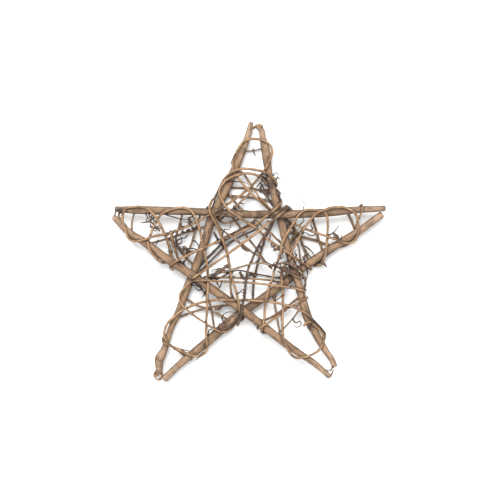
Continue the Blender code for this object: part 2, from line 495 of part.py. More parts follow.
def crossings(pairs, stretch):
    """Labels the pairs of points that belong to one and the same crossing of two stretches."""
    apart = 3 * LINKED_SAMPLES
    places = [Vector((i + apart * stretch[i], j + apart * stretch[j], 0)) for i, j in pairs]
    label = np.arange(len(pairs))

    def first_of(k):
        while label[k] != k:
            label[k] = label[label[k]]
            k = label[k]
        return k

    for a, b in near_pairs(places, LINKED_SAMPLES):
        label[first_of(b)] = first_of(a)
    return np.array([first_of(k) for k in range(len(pairs))])


def settle(vines, sticks):
    """Lifts and lowers the vines until each lies clear of all that it crosses, as taut as that allows."""
    stick_points = np.concatenate([line for line, _ in sticks])
    everything = np.concatenate([vine[0] for vine in vines] + [stick_points])
    radii = np.concatenate([np.full(len(vine[0]), vine[1]) for vine in vines] + [radius for _, radius in sticks])
    rank = np.concatenate([vine[2] for vine in vines] + [np.zeros(len(stick_points))])
    pinned = np.concatenate([vine[3] for vine in vines])
    owners = np.concatenate([np.full(len(vine[0]), i) for i, vine in enumerate(vines)])
    vine_count = len(owners)
    first = np.flatnonzero(np.diff(owners, prepend=-1))
    last = np.append(first[1:] - 1, vine_count - 1)
    inner = np.setdiff1d(np.arange(vine_count), np.concatenate([first, last]))
    owners = np.concatenate([owners, np.full(len(stick_points), len(vines))])

    flat = everything * (1, 1, 0)
    reach = radii.max() + radii[:vine_count].max() + VINE_CLEARANCE
    pairs = near_pairs([Vector(point) for point in flat], reach)
    pairs = pairs[pairs[:, 0] < vine_count]
    needed = radii[pairs].sum(axis=1) + VINE_CLEARANCE
    apart = np.linalg.norm(flat[pairs[:, 0]] - flat[pairs[:, 1]], axis=1)
    same_bend = (owners[pairs[:, 0]] == owners[pairs[:, 1]]) & (
        abs(pairs[:, 0] - pairs[:, 1]) * SAMPLE_STEP < SAME_BEND * needed
    )
    keep = (apart < needed) & ~same_bend
    pairs, needed, apart = pairs[keep], needed[keep], apart[keep]
    lift = np.sqrt(needed**2 - apart**2)
    turns = np.concatenate([np.cumsum(pinned), np.zeros(len(stick_points), int)])
    label = crossings(pairs, owners + turns)
    over = np.bincount(label, (rank[pairs[:, 0]] - rank[pairs[:, 1]]) * lift, len(pairs))[label] > 0
    upper = np.where(over, pairs[:, 0], pairs[:, 1])
    lower = np.where(over, pairs[:, 1], pairs[:, 0])
    upper_moves = (upper < vine_count).astype(float)
    lower_moves = (lower < vine_count).astype(float)
    share = 1 / (upper_moves + lower_moves)

    heights = everything[:, 2].copy()
    level = heights.copy()
    free = inner[~pinned[inner]]
    for turn in range(HEIGHT_ROUNDS):
        stiffness = TAUT if turn < TAUT_ROUNDS else EASED
        between = (heights[free - 1] + heights[free + 1]) / 2
        heights[free] += stiffness * (between - heights[free]) + SINKING * (level[free] - heights[free])
        heights[first] += stiffness * (heights[first + 1] - heights[first])
        heights[last] += stiffness * (heights[last - 1] - heights[last])
        short = np.maximum(lift - (heights[upper] - heights[lower]), 0) * share
        up, down = np.zeros(len(heights)), np.zeros(len(heights))
        np.maximum.at(up, upper, short * upper_moves)
        np.maximum.at(down, lower, short * lower_moves)
        heights += up - down
    everything[:, 2] = heights
    return push_apart(everything, radii, owners, inner, vine_count)


def push_apart(everything, radii, owners, inner, vine_count):
    """The last small moves, in any direction, that leave the clearance between all of the vines and sticks."""
    reach = radii.max() + radii[:vine_count].max() + VINE_CLEARANCE + SAMPLE_STEP
    table = np.min((everything[:, 2] - radii)[:vine_count]) + TABLE_LIFT
    for turn in range(PUSH_ROUNDS):
        if turn % SEARCH_ROUNDS == 0:
            pairs = near_pairs([Vector(p) for p in everything], reach)
            pairs = pairs[pairs[:, 0] < vine_count]
            needed = radii[pairs].sum(axis=1) + VINE_CLEARANCE
            same = owners[pairs[:, 0]] == owners[pairs[:, 1]]
            close = abs(pairs[:, 0] - pairs[:, 1]) * SAMPLE_STEP < SAME_BEND * needed
            pairs, needed = pairs[~(same & close)], needed[~(same & close)]
            moves = (pairs < vine_count).astype(float)
            share = moves / moves.sum(axis=1, keepdims=True)
        between = everything[pairs[:, 0]] - everything[pairs[:, 1]]
        distance = np.linalg.norm(between, axis=1) + 1e-9
        short = np.maximum(needed - distance, 0)
        push = between * (short / distance)[:, None]
        total, count = np.zeros_like(everything), np.zeros(len(everything))
        touching = short > 0
        for column, sign in ((0, 1), (1, -1)):
            np.add.at(total, pairs[touching, column], sign * push[touching] * share[touching, column, None])
            np.add.at(count, pairs[touching, column], 1.0)
        everything = everything + PUSH_STRENGTH * total / np.maximum(count, 1)[:, None]
        if turn < EASING_ROUNDS:
            middle = (everything[inner - 1] + everything[inner + 1]) / 2
            everything[inner] += PUSH_EASING * (middle - everything[inner])
        everything[:vine_count, 2] = np.maximum(everything[:vine_count, 2], table + radii[:vine_count])
    return everything[:vine_count], table


def simplified(line, tolerance):
    """The fewest points of a line that keep it within the tolerance, found by halving at the worst point."""
    keep = {0, len(line) - 1}
    open_spans = [(0, len(line) - 1)]
    while open_spans:
        a, b = open_spans.pop()
        if b - a < 2:
            continue
        run = line[b] - line[a]
        shares = np.clip((line[a + 1 : b] - line[a]) @ run / max(run @ run, 1e-18), 0, 1)
        away = np.linalg.norm(line[a + 1 : b] - line[a] - shares[:, None] * run, axis=1)
        worst = int(np.argmax(away))
        if away[worst] > tolerance:
            middle = a + 1 + worst
            keep.add(middle)
            open_spans += [(a, middle), (middle, b)]
    return sorted(keep)


def tube(name, line, radii, sides, material):
    """One closed round bar along a line, with a flat side facing down, as a mesh."""
    steps = np.diff(line, axis=0)
    steps /= np.linalg.norm(steps, axis=1)[:, None]
    runs = np.concatenate([steps[:1], steps[:-1] + steps[1:], steps[-1:]])
    runs /= np.linalg.norm(runs, axis=1)[:, None]
    across = np.cross(runs[0], (0, 0, 1))
    vertices = []
    for point, run, radius in zip(line, runs, radii):
        across = across - run * (across @ run)
        across /= np.linalg.norm(across)
        upwards = np.cross(run, across)
        angles = (np.arange(sides) + 0.5) * 2 * math.pi / sides - math.pi / 2
        ring = np.cos(angles)[:, None] * across + np.sin(angles)[:, None] * upwards
        vertices.extend(point + radius * ring)
    faces = [tuple(range(sides))[::-1], tuple(range((len(line) - 1) * sides, len(line) * sides))]
    for i in range(len(line) - 1):
        for k in range(sides):
            here, after = i * sides + k, i * sides + (k + 1) % sides
            faces.append((here, after, after + sides, here + sides))
    mesh = bpy.data.meshes.new(name)
    mesh.from_pydata([tuple(v) for v in vertices], [], faces)
    mesh.materials.append(material)
    return mesh


def wood(name, colour, roughness):
    material = bpy.data.materials.new(name)
    material.use_nodes = True
    shader = material.node_tree.nodes["Principled BSDF"]
    shader.inputs["Base Color"].default_value = (*colour, 1)
    shader.inputs["Roughness"].default_value = roughness
    shader.inputs["Metallic"].default_value = 0
    return material


def build():
    for thing in list(bpy.data.objects):
        bpy.data.objects.remove(thing, do_unlink=True)

    sticks = {name: stick_line(name) for name in STICKS}
    names = list(ROUTES)
    laid = [lay_route(diameter, first, last, route) for diameter, first, last, route in ROUTES.values()]
    settled, table = settle(laid, list(sticks.values()))
    lengths = np.cumsum([len(vine[0]) for vine in laid])[:-1]
    lines = dict(zip(names, np.split(settled, lengths)))

    peeled = wood("peeled_stick", STICK_TAN, 0.6)
    pale = wood("vine_tan", VINE_TAN, 0.65)
    dark = wood("vine_brown", VINE_BROWN, 0.7)

    solids = []
    for name, (line, radii) in sticks.items():
        keep = simplified(np.column_stack([line, radii]), ROUTE_TOLERANCE)
        solids.append(tube(name, line[keep], radii[keep], STICK_SIDES, peeled))
    for name, line in lines.items():
        diameter = ROUTES[name][0]
        resting = line[:, 2] < table + diameter / 2 + FLAT_ENOUGH
        run_ends = np.flatnonzero(np.diff(resting.astype(int), prepend=0, append=0))
        keep = sorted({*simplified(line, ROUTE_TOLERANCE), *run_ends[::2], *(run_ends[1::2] - 1)})
        radii = np.full(len(keep), diameter / 2)
        sides = VINE_SIDES if diameter == THICK_VINE else THIN_VINE_SIDES
        solids.append(tube(name, line[keep], radii, sides, dark if name in DARK_VINES else pale))

    corners = [vertex.co for mesh in solids for vertex in mesh.vertices]
    floor = table + WORN_DEPTH
    middle_x = (min(corner.x for corner in corners) + max(corner.x for corner in corners)) / 2
    middle_y = (min(corner.y for corner in corners) + max(corner.y for corner in corners)) / 2
    for mesh in solids:
        for vertex in mesh.vertices:
            vertex.co.z = max(vertex.co.z - floor, 0)
            vertex.co.x -= middle_x
            vertex.co.y -= middle_y
        mesh.shade_smooth()
        piece = bpy.data.objects.new(mesh.name, mesh)
        bpy.context.scene.collection.objects.link(piece)


build()
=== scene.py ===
# %% [markdown]
# # A rattan star ornament
#
# The star lies flat and the camera looks straight down on it. Five peeled sticks make the frame, and
# forty-three thin vines are wound through and round it. The solids already hold each stick and vine as a
# faceted bar in its true place, so this script takes the centre line out of each bar and sweeps a much finer,
# fibrous stem along it. Tendrils, broken twigs and shreds of bark are then grown from the vines.

import math

import bpy
import numpy as np
from mathutils import Matrix, Vector, kdtree
from mathutils.bvhtree import BVHTree


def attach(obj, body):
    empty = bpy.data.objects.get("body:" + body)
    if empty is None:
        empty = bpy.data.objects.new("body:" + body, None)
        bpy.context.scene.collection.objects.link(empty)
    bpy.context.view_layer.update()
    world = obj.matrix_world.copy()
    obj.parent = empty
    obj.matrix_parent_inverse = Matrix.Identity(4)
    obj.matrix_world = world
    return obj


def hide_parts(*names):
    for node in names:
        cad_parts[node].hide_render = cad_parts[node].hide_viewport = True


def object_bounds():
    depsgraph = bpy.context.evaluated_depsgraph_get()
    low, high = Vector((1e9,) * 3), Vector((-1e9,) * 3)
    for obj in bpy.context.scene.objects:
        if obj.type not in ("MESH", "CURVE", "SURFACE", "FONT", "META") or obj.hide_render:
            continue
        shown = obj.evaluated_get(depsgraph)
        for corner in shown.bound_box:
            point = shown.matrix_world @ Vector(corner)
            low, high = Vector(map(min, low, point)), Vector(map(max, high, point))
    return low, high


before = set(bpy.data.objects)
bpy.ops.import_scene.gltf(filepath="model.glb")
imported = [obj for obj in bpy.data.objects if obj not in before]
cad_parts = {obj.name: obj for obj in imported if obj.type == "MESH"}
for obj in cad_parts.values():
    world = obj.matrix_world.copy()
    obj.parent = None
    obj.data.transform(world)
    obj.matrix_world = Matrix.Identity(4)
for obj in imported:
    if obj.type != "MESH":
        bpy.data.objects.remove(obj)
low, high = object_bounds()
print("the frame has", len(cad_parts), "nodes")

# %% [markdown]
# ## Centre lines
#
# A bar is a run of rings, each with the same number of corners, and its two ends are flat caps. To find the
# rings again, look for a flat group of triangles with as many corners as a ring has: that is a cap. From
# there, each next ring is whatever touches the last one and hasn't been seen yet. A smooth curve through the
# middles of the rings gives back the bend of the stem, which the bar follows in straight steps.

# %% Find the rings of a bar
SAME_PLANE = 0.9999  # triangles whose normals agree this well lie in one plane
SAME_PLACE = 6  # corners that agree to this many decimals are one
RING_SIZES = (5, 6, 10)  # how many corners a ring has, on thin vines, thick vines and sticks


def flat_groups(corners, triangles):
    """Groups of neighbouring triangles that lie in one plane, as sets of corners."""
    points = corners[triangles]
    normals = np.cross(points[:, 1] - points[:, 0], points[:, 2] - points[:, 0])
    normals /= np.linalg.norm(normals, axis=1)[:, None]
    edges = {}
    for t, triangle in enumerate(triangles):
        for a, b in zip(triangle, np.roll(triangle, 1)):
            edges.setdefault((min(a, b), max(a, b)), []).append(t)
    group = list(range(len(triangles)))

    def first(t):
        while group[t] != t:
            t = group[t]
        return t

    for pair in edges.values():
        if len(pair) == 2 and normals[pair[0]] @ normals[pair[1]] > SAME_PLANE:
            group[first(pair[1])] = first(pair[0])
    sets = {}
    for t, triangle in enumerate(triangles):
        sets.setdefault(first(t), set()).update(int(i) for i in triangle)
    return list(sets.values())


def rings_of(node):
    """The rings of a bar from one end to the other, each an array of its corners."""
    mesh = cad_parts[node].data
    loose = np.array([vertex.co for vertex in mesh.vertices])
    corners, same = np.unique(np.round(loose, SAME_PLACE), axis=0, return_inverse=True)
    same = same.reshape(-1)
    triangles = np.array([[same[i] for i in face.vertices] for face in mesh.polygons])
    touching = [set() for _ in corners]
    for a, b, c in triangles:
        touching[a] |= {int(b), int(c)}
        touching[b] |= {int(a), int(c)}
        touching[c] |= {int(a), int(b)}
    for cap in flat_groups(corners, triangles):
        if len(cap) not in RING_SIZES:
            continue
        rings, seen = [cap], set(cap)
        while True:
            following = set().union(*(touching[i] for i in rings[-1])) - seen
            if not following:
                break
            rings.append(following)
            seen |= following
        if all(len(ring) == len(cap) for ring in rings) and len(seen) == len(corners):
            return [corners[sorted(ring)] for ring in rings]
    raise ValueError(f"no rings found in {node}")


bars = {name: rings_of(name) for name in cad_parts}
print("rings found:", sum(len(rings) for rings in bars.values()))

# %% Draw a smooth line through the rings
LINE_STEP = 0.0012
POINTS_ON_A_SPAN = 16
FEWEST_STEPS = 4
TINY = 1e-9  # keeps a division by zero away


def smooth_line(points, radii, step):
    """A smooth curve through points, with their radii, at even steps."""
    rows = np.column_stack([points, radii])
    rows = np.concatenate([2 * rows[:1] - rows[1:2], rows, 2 * rows[-1:] - rows[-2:-1]])
    spans = np.sqrt(np.linalg.norm(np.diff(rows[:, :3], axis=0), axis=1)) + TINY
    knots = np.concatenate([[0], np.cumsum(spans)])
    pieces = []
    for i in range(1, len(rows) - 2):
        t = np.linspace(knots[i], knots[i + 1], POINTS_ON_A_SPAN, endpoint=False)[:, None]
        a = [
            ((knots[j + 1] - t) * rows[j] + (t - knots[j]) * rows[j + 1]) / (knots[j + 1] - knots[j])
            for j in (i - 1, i, i + 1)
        ]
        b = [
            ((knots[j + 2] - t) * a[k] + (t - knots[j]) * a[k + 1]) / (knots[j + 2] - knots[j])
            for k, j in ((0, i - 1), (1, i))
        ]
        pieces.append(((knots[i + 1] - t) * b[0] + (t - knots[i]) * b[1]) / (knots[i + 1] - knots[i]))
    dense = np.concatenate(pieces + [rows[-2:-1]])
    along = np.concatenate([[0], np.cumsum(np.linalg.norm(np.diff(dense[:, :3], axis=0), axis=1))])
    even = np.linspace(0, along[-1], max(int(along[-1] / step), FEWEST_STEPS) + 1)
    return np.stack([np.interp(even, along, dense[:, k]) for k in range(4)], axis=1)


lines = {}
for name, rings in bars.items():
    centres = np.array([ring.mean(axis=0) for ring in rings])
    radii = np.array([np.linalg.norm(ring - ring.mean(axis=0), axis=1).mean() for ring in rings])
    lines[name] = smooth_line(centres, radii, LINE_STEP)
print("centre lines:", len(lines), "with", sum(len(line) for line in lines.values()), "points")

# %% [markdown]
# ## Draw the winding tight
#
# Solids that are used in a simulation mustn't touch, so they were wound with a little air at every crossing.
# On the real star the vines press on one another. Here each vine is pulled towards whatever it crosses, by
# half a millimetre at most, until most of the air is gone. The pull is smoothed along the vine, because a
# stem bends and doesn't jump.

# %% Draw the winding tight
NEAR_ENOUGH = 0.0009  # a gap smaller than this is a crossing
MOST_DRAWN = 0.0005
DRAW_ROUNDS = 7
DRAW_SHARE = 0.9  # how much of the pull a round follows
PULL_SMOOTHINGS = 2


def stacked(lines):
    """All lines end to end: the points, their radii, and the number of the line that each is on."""
    rows = np.concatenate(list(lines.values()))
    owner = np.repeat(np.arange(len(lines)), [len(line) for line in lines.values()])
    return rows[:, :3], rows[:, 3], owner


def line_tree(points):
    tree = kdtree.KDTree(len(points))
    for i, point in enumerate(points):
        tree.insert(point, i)
    tree.balance()
    return tree


def pull_on(points, radii, owner, fixed):
    """How far each free point wants to move towards the stems that it crosses."""
    tree = line_tree(points)
    pull = np.zeros_like(points)
    widest = radii.max()
    for i in np.flatnonzero(~fixed):
        nearest = {}
        for _, j, distance in tree.find_range(points[i], radii[i] + widest + NEAR_ENOUGH):
            gap = distance - radii[i] - radii[j]
            if owner[j] != owner[i] and gap < nearest.get(owner[j], (NEAR_ENOUGH, j))[0]:
                nearest[owner[j]] = (gap, j)
        for gap, j in nearest.values():
            away = points[j] - points[i]
            pull[i] += away / np.linalg.norm(away) * gap * (1.0 if fixed[j] else 0.5)
    return pull


def draw_tight(lines):
    """The lines with the vines moved, and the sticks left where they are."""
    start, radii, owner = stacked(lines)
    fixed = np.array([name.startswith("stick_") for name in lines])[owner]
    joined = (owner[1:] == owner[:-1])[:, None]
    points = start
    for _ in range(DRAW_ROUNDS):
        pull = pull_on(points, radii, owner, fixed)
        for _ in range(PULL_SMOOTHINGS):
            step = np.where(joined, pull[1:] - pull[:-1], 0) / 4
            pull[:-1] += step
            pull[1:] -= step
        moved = points + DRAW_SHARE * pull - start
        far = np.linalg.norm(moved, axis=1, keepdims=True)
        points = start + moved * np.minimum(1, MOST_DRAWN / np.maximum(far, TINY))
    drawn = np.linalg.norm(points - start, axis=1)[~fixed].mean()
    print("drawn by", round(float(drawn) * 1000, 2), "mm on average")
    tight = np.column_stack([points, radii])
    return dict(zip(lines, np.split(tight, np.cumsum(np.bincount(owner))[:-1])))


lines = draw_tight(lines)

# %% [markdown]
# ## Small helpers for node trees
#
# Both the shapes and the materials below are built from nodes. These few lines make a node, set its values
# by name and join it to others, so that each tree reads as a list of steps.


# %% Node helpers
class Tree:
    """A node tree that is being written down step by step."""

    def __init__(self, tree):
        self.tree = tree

    def add(self, kind, values=None, **properties):
        node = self.tree.nodes.new(kind)
        for key, value in properties.items():
            setattr(node, key, value)
        for key, value in (values or {}).items():
            socket = node.inputs[key]
            if isinstance(value, bpy.types.NodeSocket):
                self.tree.links.new(value, socket)
            else:
                socket.default_value = value
        return node

    def math(self, operation, a, b=0.0, c=0.0, clamp=False):
        return self.add("ShaderNodeMath", {0: a, 1: b, 2: c}, operation=operation, use_clamp=clamp).outputs[0]

    def vector(self, operation, a, b=None, scale=None):
        values = {0: a}
        if b is not None:
            values[1] = b
        if scale is not None:
            values["Scale"] = scale
        return self.add("ShaderNodeVectorMath", values, operation=operation).outputs[0]

    def ramp(self, value, low, high, out_low=0.0, out_high=1.0):
        values = {"Value": value, "From Min": low, "From Max": high, "To Min": out_low, "To Max": out_high}
        return self.add("ShaderNodeMapRange", values, interpolation_type="SMOOTHSTEP").outputs[0]

    def noise(self, place, scale, detail):
        """Noise with so many features to a metre along x, y and z."""
        values = {"Vector": self.vector("MULTIPLY", place, scale), "Scale": 1.0, "Detail": detail}
        return self.add("ShaderNodeTexNoise", values).outputs[0]

    def sweep(self, curve, profile, scale, caps=True):
        values = {"Curve": curve, "Profile Curve": profile, "Scale": scale, "Fill Caps": caps}
        return self.add("GeometryNodeCurveToMesh", values).outputs[0]

    def store(self, geometry, name, value, kind="FLOAT"):
        values = {"Geometry": geometry, "Name": name, "Value": value}
        return self.add("GeometryNodeStoreNamedAttribute", values, data_type=kind).outputs[0]

    def named(self, name, kind="FLOAT"):
        return self.add("GeometryNodeInputNamedAttribute", {"Name": name}, data_type=kind).outputs[0]

    def circle(self, sides, radius=1.0):
        values = {"Resolution": sides, "Radius": radius}
        return self.add("GeometryNodeCurvePrimitiveCircle", values).outputs[0]


def geometry_group(name, inputs):
    """A geometry tree with the named inputs and a material, and the sockets that it is given."""
    group = bpy.data.node_groups.new(name, "GeometryNodeTree")
    group.interface.new_socket("Geometry", in_out="INPUT", socket_type="NodeSocketGeometry")
    for label, value in inputs.items():
        kind = "NodeSocketInt" if isinstance(value, int) else "NodeSocketFloat"
        group.interface.new_socket(label, in_out="INPUT", socket_type=kind).default_value = value
    group.interface.new_socket("Material", in_out="INPUT", socket_type="NodeSocketMaterial")
    group.interface.new_socket("Geometry", in_out="OUTPUT", socket_type="NodeSocketGeometry")
    tree = Tree(group)
    return tree, tree.add("NodeGroupInput").outputs


def finished(tree, mesh, material):
    mesh = tree.add("GeometryNodeSetMaterial", {"Geometry": mesh, "Material": material}).outputs[0]
    tree.add("NodeGroupOutput", {"Geometry": mesh})
    return tree.tree


# %% [markdown]
# ## The stem
#
# One tree grows every stem. The centre line is made even, its radius swells at irregular knots and wavers in
# between, and a circle is swept along it. Each point keeps its place in the straightened stem: across it in
# x and y, and along it in z. Fibres and grain are noise in that straight space, stretched along z, so they
# follow every bend and have no seam. Slower noise makes the stem lumpy and out of round, as grown wood is.

# %% The stem's line, with its knots and its worn ends
STEM_INPUTS = {
    "Sides": 12, "Step": 0.0005, "Thickness": 1.0, "Waver": 0.1, "Knot Spacing": 0.02, "Knot Swelling": 0.2,
    "Lumps": 0.0002, "Fibre Depth": 0.00008, "Twist": 20.0, "Tone": 0.5, "Grey": 0.0, "Bleached Ends": 0.0,
    "Seed": 1,
}
WAVERS_PER_METRE = 140.0
KNOT_REACH = (0.2, 1.3)  # a knot is full up to the first, and gone at the second, in radii along the stem
WORN_REACH = 0.5  # how far an end is worn, in radii along the stem
WORN_GIRTH = 0.72  # what wear leaves of the radius at the very end
BLEACHED_REACH = 0.035


def stem_line(tree, given, seed):
    """The line at even steps, with what is measured along it, and its radius at each point."""
    line = tree.add("GeometryNodeMeshToCurve", {"Mesh": given["Geometry"]}).outputs[0]
    even = {"Curve": line, "Length": given["Step"]}
    line = tree.add("GeometryNodeResampleCurve", even, mode="LENGTH").outputs[0]
    along = tree.add("GeometryNodeSplineParameter").outputs["Length"]
    whole = tree.add("GeometryNodeSplineLength").outputs[0]
    girth = tree.named("girth")

    slow = {"W": tree.math("MULTIPLY_ADD", along, WAVERS_PER_METRE, seed), "Scale": 1.0, "Detail": 2.0}
    waver = tree.add("ShaderNodeTexNoise", slow, noise_dimensions="1D").outputs[0]
    waver = tree.math("MULTIPLY", tree.math("SUBTRACT", waver, 0.5), given["Waver"])
    steps = {"W": tree.math("ADD", tree.math("DIVIDE", along, given["Knot Spacing"]), seed), "Scale": 1.0}
    near = tree.add("ShaderNodeTexVoronoi", steps, voronoi_dimensions="1D").outputs["Distance"]
    near = tree.math("DIVIDE", tree.math("MULTIPLY", near, given["Knot Spacing"]), girth)
    knot = tree.ramp(near, *KNOT_REACH, 1.0, 0.0)
    swelling = tree.math("MULTIPLY", knot, given["Knot Swelling"])
    from_end = tree.math("MINIMUM", along, tree.math("SUBTRACT", whole, along))
    worn = tree.ramp(tree.math("DIVIDE", from_end, girth), 0.0, WORN_REACH, WORN_GIRTH, 1.0)
    factor = tree.math("ADD", tree.math("ADD", waver, swelling), 1.0)
    full = tree.math("MULTIPLY", girth, given["Thickness"])
    radius = tree.math("MULTIPLY", full, tree.math("MULTIPLY", factor, worn))

    bleached = tree.ramp(from_end, 0.0, BLEACHED_REACH, 1.0, 0.0)
    bleached = tree.math("MULTIPLY", bleached, given["Bleached Ends"])
    measured = {"along": along, "thick": radius, "knot": knot, "bleached": bleached}
    for label, value in measured.items():
        line = tree.store(line, label, value)
    return line, radius


# %% The stem tree
SEED_STRIDE = 7.31  # keeps the noise of one seed apart from the next
FIBRES_PER_METRE = (2600.0, 2600.0, 130.0)
LUMPS_PER_METRE = (330.0, 330.0, 170.0)


def straight_place(tree, given, seed):
    """Each point's place in the straightened stem, turned further the further along it is."""
    along = tree.named("along")
    across = tree.vector("SCALE", tree.named("ring", "FLOAT_VECTOR"), scale=tree.named("thick"))
    lifted = tree.vector("ADD", across, tree.add("ShaderNodeCombineXYZ", {"Z": along}).outputs[0])
    turn = {"Vector": lifted, "Angle": tree.math("MULTIPLY", along, given["Twist"])}
    turned = tree.add("ShaderNodeVectorRotate", turn, rotation_type="Z_AXIS").outputs[0]
    return tree.vector("ADD", turned, seed)


def build_stem_group():
    tree, given = geometry_group("stem", STEM_INPUTS)
    seed = tree.math("MULTIPLY", given["Seed"], SEED_STRIDE)
    line, radius = stem_line(tree, given, seed)
    ring = tree.add("GeometryNodeInputPosition").outputs[0]
    circle = tree.store(tree.circle(given["Sides"]), "ring", ring, "FLOAT_VECTOR")
    mesh = tree.sweep(line, circle, radius)

    grain = straight_place(tree, given, seed)
    fibre = tree.noise(grain, FIBRES_PER_METRE, 2.0)
    lumps = tree.noise(grain, LUMPS_PER_METRE, 2.0)
    depth = tree.math("MULTIPLY", tree.math("SUBTRACT", fibre, 0.5), given["Fibre Depth"])
    depth = tree.math("MULTIPLY_ADD", tree.math("SUBTRACT", lumps, 0.5), given["Lumps"], depth)
    normal = tree.add("GeometryNodeInputNormal").outputs[0]
    upwards = tree.add("ShaderNodeSeparateXYZ", {"Vector": normal}).outputs["Z"]
    # how squarely a surface faces up or down; the material turns low values into painted shade on the flanks
    front = tree.math("ABSOLUTE", upwards)
    mesh = tree.store(mesh, "grain", grain, "FLOAT_VECTOR")
    marks = {"front": front, "fibre": fibre, "tone": given["Tone"], "grey": given["Grey"]}
    for label, value in marks.items():
        mesh = tree.store(mesh, label, value)
    offset = tree.vector("SCALE", normal, scale=depth)
    mesh = tree.add("GeometryNodeSetPosition", {"Geometry": mesh, "Offset": offset}).outputs[0]
    mesh = tree.add("GeometryNodeSetShadeSmooth", {"Geometry": mesh}).outputs[0]
    mesh = tree.add("GeometryNodeRealizeInstances", {"Geometry": mesh}).outputs[0]
    return finished(tree, mesh, given["Material"])


stem_group = build_stem_group()
print("stem tree:", len(stem_group.nodes), "nodes")


# %% Grow a stem along a line
def new_object(name, data):
    thing = bpy.data.objects.new(name, data)
    bpy.context.scene.collection.objects.link(thing)
    return thing


def line_object(name, rows):
    """Centre lines as a mesh of edges, with the girth of each point."""
    points = np.concatenate(rows)
    edges, start = [], 0
    for row in rows:
        edges += [(start + i, start + i + 1) for i in range(len(row) - 1)]
        start += len(row)
    mesh = bpy.data.meshes.new(name)
    mesh.from_pydata([tuple(p) for p in points[:, :3]], edges, [])
    mesh.attributes.new("girth", "FLOAT", "POINT").data.foreach_set("value", points[:, 3].astype(np.float32))
    return new_object(name, mesh)


def grow(name, rows, group, settings, material):
    """Runs a geometry tree on centre lines and keeps the result as a plain mesh."""
    thing = line_object(name, rows)
    modifier = thing.modifiers.new("grow", "NODES")
    modifier.node_group = group
    sockets = {s.name: s.identifier for s in group.interface.items_tree if s.in_out == "INPUT"}
    for label, value in settings.items():
        modifier[sockets[label]] = value
    modifier[sockets["Material"]] = material
    bpy.context.view_layer.update()
    graph = bpy.context.evaluated_depsgraph_get()
    mesh = bpy.data.meshes.new_from_object(
        thing.evaluated_get(graph), preserve_all_data_layers=True, depsgraph=graph
    )
    thing.modifiers.clear()
    plain = thing.data
    thing.data = mesh
    bpy.data.meshes.remove(plain)
    mesh.name = name
    return thing


# %% [markdown]
# ## Materials
#
# Dry vine is a warm tan with darker fibres in its grooves, paler worn ridges, ruddy lengths and grey-brown
# blotches; the grooves are darker partly as grain and partly as painted shade. The ends of the sticks have
# bleached. The flanks of every stem are darkened as painted shade, so that its two broad sides look lit.
# Where stems press on one another, the colour is darkened as painted shade. In a few places flakes of
# black-brown bark are left. One tree of layers makes all the woods, because they differ in colour and not in
# kind. Each layer darkens or tints what is below it, by a mask from noise or from an attribute of the stem.

# %% The layers of clean wood
BLEACHED = (0.46, 0.325, 0.225, 1)
RUDDY = (0.13, 0.062, 0.038, 1)
WEATHERED = (0.20, 0.16, 0.125, 1)
PATTERNS = {  # how many features there are to a metre, across the stem and along it, and their detail
    "streaks": ((5200.0, 5200.0, 90.0), 4.0),
    "bands": ((1500.0, 1500.0, 26.0), 3.0),
    "blotches": ((420.0, 420.0, 110.0), 4.0),
    "splits": ((1900.0, 1900.0, 14.0), 1.0),
    "lengths": ((110.0, 110.0, 120.0), 3.0),
    "flakes": ((900.0, 900.0, 260.0), 5.0),
}
STREAKS_SHARE = 0.55  # how much of the light and dark is streaks, and the rest is bands
PALE_FROM = (0.4, 0.6)  # where a layer begins and where it is full, as in all the pairs below
RUDDY_FROM = (0.42, 0.68)
GREY_FROM = (0.3, 0.7)
GREY_LEAST = 0.6
BLEACHING = 0.4
SPLIT_WIDTH = 0.018
SHADES = {  # the share of its pale colour that a stem loses there, and where the shade begins and is full
    "blotches": (0.5, (0.5, 0.74)),
    "dark lengths": (0.4, (0.52, 0.36)),
    # grooves: partly the fibre grain, partly painted shade where the surface dips
    "grooves": (0.45, (0.5, 0.28)),
    "knots": (0.3, None),
    "splits": (0.35, None),
    # painted shade: flanks are darker where a surface faces sideways, as light from the front would leave
    # them
    "flanks": (0.92, (1.1, 0.25)),
    # painted shade where another stem is near
    "crossings": (0.88, None),
}


